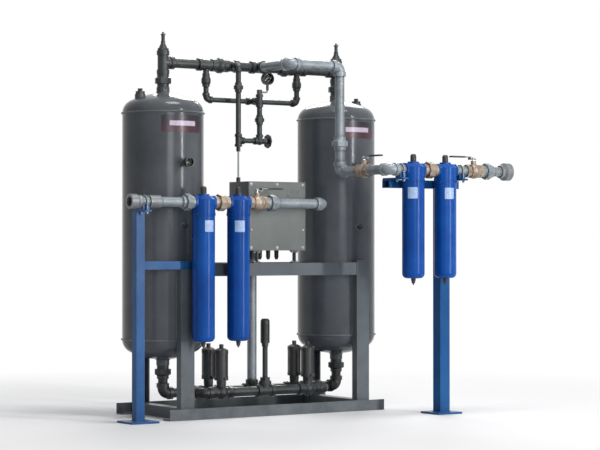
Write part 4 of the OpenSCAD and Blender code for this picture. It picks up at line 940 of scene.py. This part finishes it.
bm = bmesh.new()
for place in actuator_points(SCREW_CIRCLE, CAP_Z):
    lathe(bm, place, UP, CAP_SCREW, seg=18)
piece("actuator_screws", bm, SCREW)
bm = bmesh.new()
for place in actuator_points(ROD_CIRCLE, ROD_Z):
    lathe(bm, place, UP, [(0, 0), (ROD_R, 0), (ROD_R, ROD_LONG), (0, ROD_LONG)], seg=12)

# Rings round the muffler, in one piece with the tie rods
RINGS, RING_PITCH, RING_SIZE = 14, 6.5, 1.3
RING_SUNK = 0.1
RING_R = (muffler_high.x - muffler_low.x) / 2 - RING_SUNK
RING_FIRST = muffler_low.z + 28.0
for k in range(RINGS):
    ring = circle((0, muffler_y, RING_FIRST + RING_PITCH * k), UP, RING_R, n=64)
    sweep(bm, ring, RING_SIZE, seg=6, closed=True)
piece("rods_and_rings", bm, BLACK)

# Pull rings of the relief valves
PULL_R, PULL_SIZE, PULL_AXIS = 12.0, 1.1, (0, -0.22, 0.975)
PULL_FORWARD, PULL_DROP = 8.5, 8.5
pull_z = corners("relief_valves")[1].z - PULL_DROP
bm = bmesh.new()
for x in (-TOWER_X, TOWER_X):
    ring = circle((x, -PULL_FORWARD, pull_z), PULL_AXIS, PULL_R, n=40)
    sweep(bm, ring, PULL_SIZE, closed=True)
piece("relief_rings", bm, SCREW)

# Nut on the purge handwheel
WHEEL_NUT = [(6.5, -0.2), (6.5, 4.2), (5.4, 5.4), (0, 5.4)]
nut_place = anchor("handwheel")
nut_place.x = corners("purge_handwheel")[1].x
bm = bmesh.new()
lathe(bm, nut_place, RIGHT, WHEEL_NUT, seg=HEX)
piece("handwheel_nut", bm, SCREW, "handwheel")


# Floor, world, lamps and camera, in metres and watts

FLOOR_SIZE, FLOOR_DROP = 60, 0.001
FADE_FROM, FADE_TO = 1.2, 3.6  # the floor fades into the white background between these distances
SKY_TINT, SKY_STRENGTH = (0.93, 0.96, 1.0, 1), 0.14
WHITE = (1, 1, 1, 1)
CENTRE = Vector((0.13, -0.25, 0.955))  # what the lamps and the camera look at
EYE = Vector((-5.58, -8.82, 0.86))
LENS, SENSOR = 122, 36  # millimetres


def sees_white(tree):
    """One for rays from the camera, reflections and glass, which meet a white background."""
    path = tree.nodes.new("ShaderNodeLightPath")
    total = path.outputs["Is Camera Ray"]
    for name in ("Is Glossy Ray", "Is Transmission Ray"):
        join = tree.nodes.new("ShaderNodeMath")
        join.operation = "MAXIMUM"
        tree.links.new(total, join.inputs[0])
        tree.links.new(path.outputs[name], join.inputs[1])
        total = join.outputs["Value"]
    return total


def pale_floor(name):
    """Pale matt floor that turns white with distance."""
    m = Maker(name, 0.75)
    m.bump(m.noise(40, detail=3), depth=0.001, strength=0.05, edge=0)
    mat = m.done(m.ramp(m.noise(0.6, detail=3), [(0.3, "#e9e9ea"), (0.7, "#eeeeef")]))
    reach = m.node("VectorMath")
    reach.operation = "LENGTH"
    m.link(m.coord, reach.inputs[0])
    far = m.times(m.span(reach.outputs["Value"], FADE_FROM, FADE_TO), sees_white(m.tree))
    glow = m.node("Emission", Color=WHITE, Strength=1.0)
    fade = m.node("MixShader")
    m.link(far, fade.inputs["Fac"])
    m.link(m.bsdf.outputs["BSDF"], fade.inputs[1])
    m.link(glow.outputs["Emission"], fade.inputs[2])
    m.link(fade.outputs["Shader"], m.tree.nodes["Material Output"].inputs["Surface"])
    return mat


def background(tree, tint, strength):
    n = tree.nodes.new("ShaderNodeBackground")
    n.inputs["Color"].default_value = tint
    n.inputs["Strength"].default_value = strength
    return n.outputs["Background"]


def studio(name):
    """Weak sky light, and plain white where the background itself is seen."""
    world = bpy.data.worlds.new(name)
    world.use_nodes = True
    tree = world.node_tree
    tree.nodes.clear()
    pick = tree.nodes.new("ShaderNodeMixShader")
    out = tree.nodes.new("ShaderNodeOutputWorld")
    tree.links.new(sees_white(tree), pick.inputs["Fac"])
    tree.links.new(background(tree, SKY_TINT, SKY_STRENGTH), pick.inputs[1])
    tree.links.new(background(tree, WHITE, 1.0), pick.inputs[2])
    tree.links.new(pick.outputs["Shader"], out.inputs["Surface"])
    return world


def look_from(obj, place):
    """Puts a lamp or a camera in the scene at a place, turned towards the centre."""
    scene.collection.objects.link(obj)
    obj.location = place
    aim = CENTRE - Vector(place)
    obj.rotation_euler = aim.to_track_quat("-Z", "Y").to_euler()


def lamp(name, place, power, width, height, tint=(1, 1, 1)):
    """Area lamp that shines at the centre."""
    light = bpy.data.lights.new(name, "AREA")
    light.shape = "RECTANGLE"
    light.size = width
    light.size_y = height
    light.energy = power
    light.color = tint
    look_from(bpy.data.objects.new(name, light), place)


bpy.ops.mesh.primitive_plane_add(size=FLOOR_SIZE, location=(0, 0, -FLOOR_DROP))
floor = bpy.context.object
floor.name = "floor"
floor.data.materials.append(pale_floor("pale_floor"))

scene.world = studio("studio")
lamp("key_strip", (2.4, -6.4, 2.0), power=320, width=0.26, height=5.2, tint=(1.0, 0.98, 0.96))
lamp("top_soft", (0.3, -1.4, 5.6), power=150, width=1.9, height=1.4)
lamp("front_soft", (-1.8, -8.2, 2.4), power=130, width=2.4, height=2.4)
lamp("back_soft", (3.2, 4.2, 4.6), power=190, width=3.0, height=1.6)

cam = bpy.data.cameras.new("photo_view")
cam.sensor_width = SENSOR
cam.lens = LENS
eye = bpy.data.objects.new("photo_view", cam)
look_from(eye, EYE)
scene.camera = eye

scene.view_settings.view_transform = "Standard"
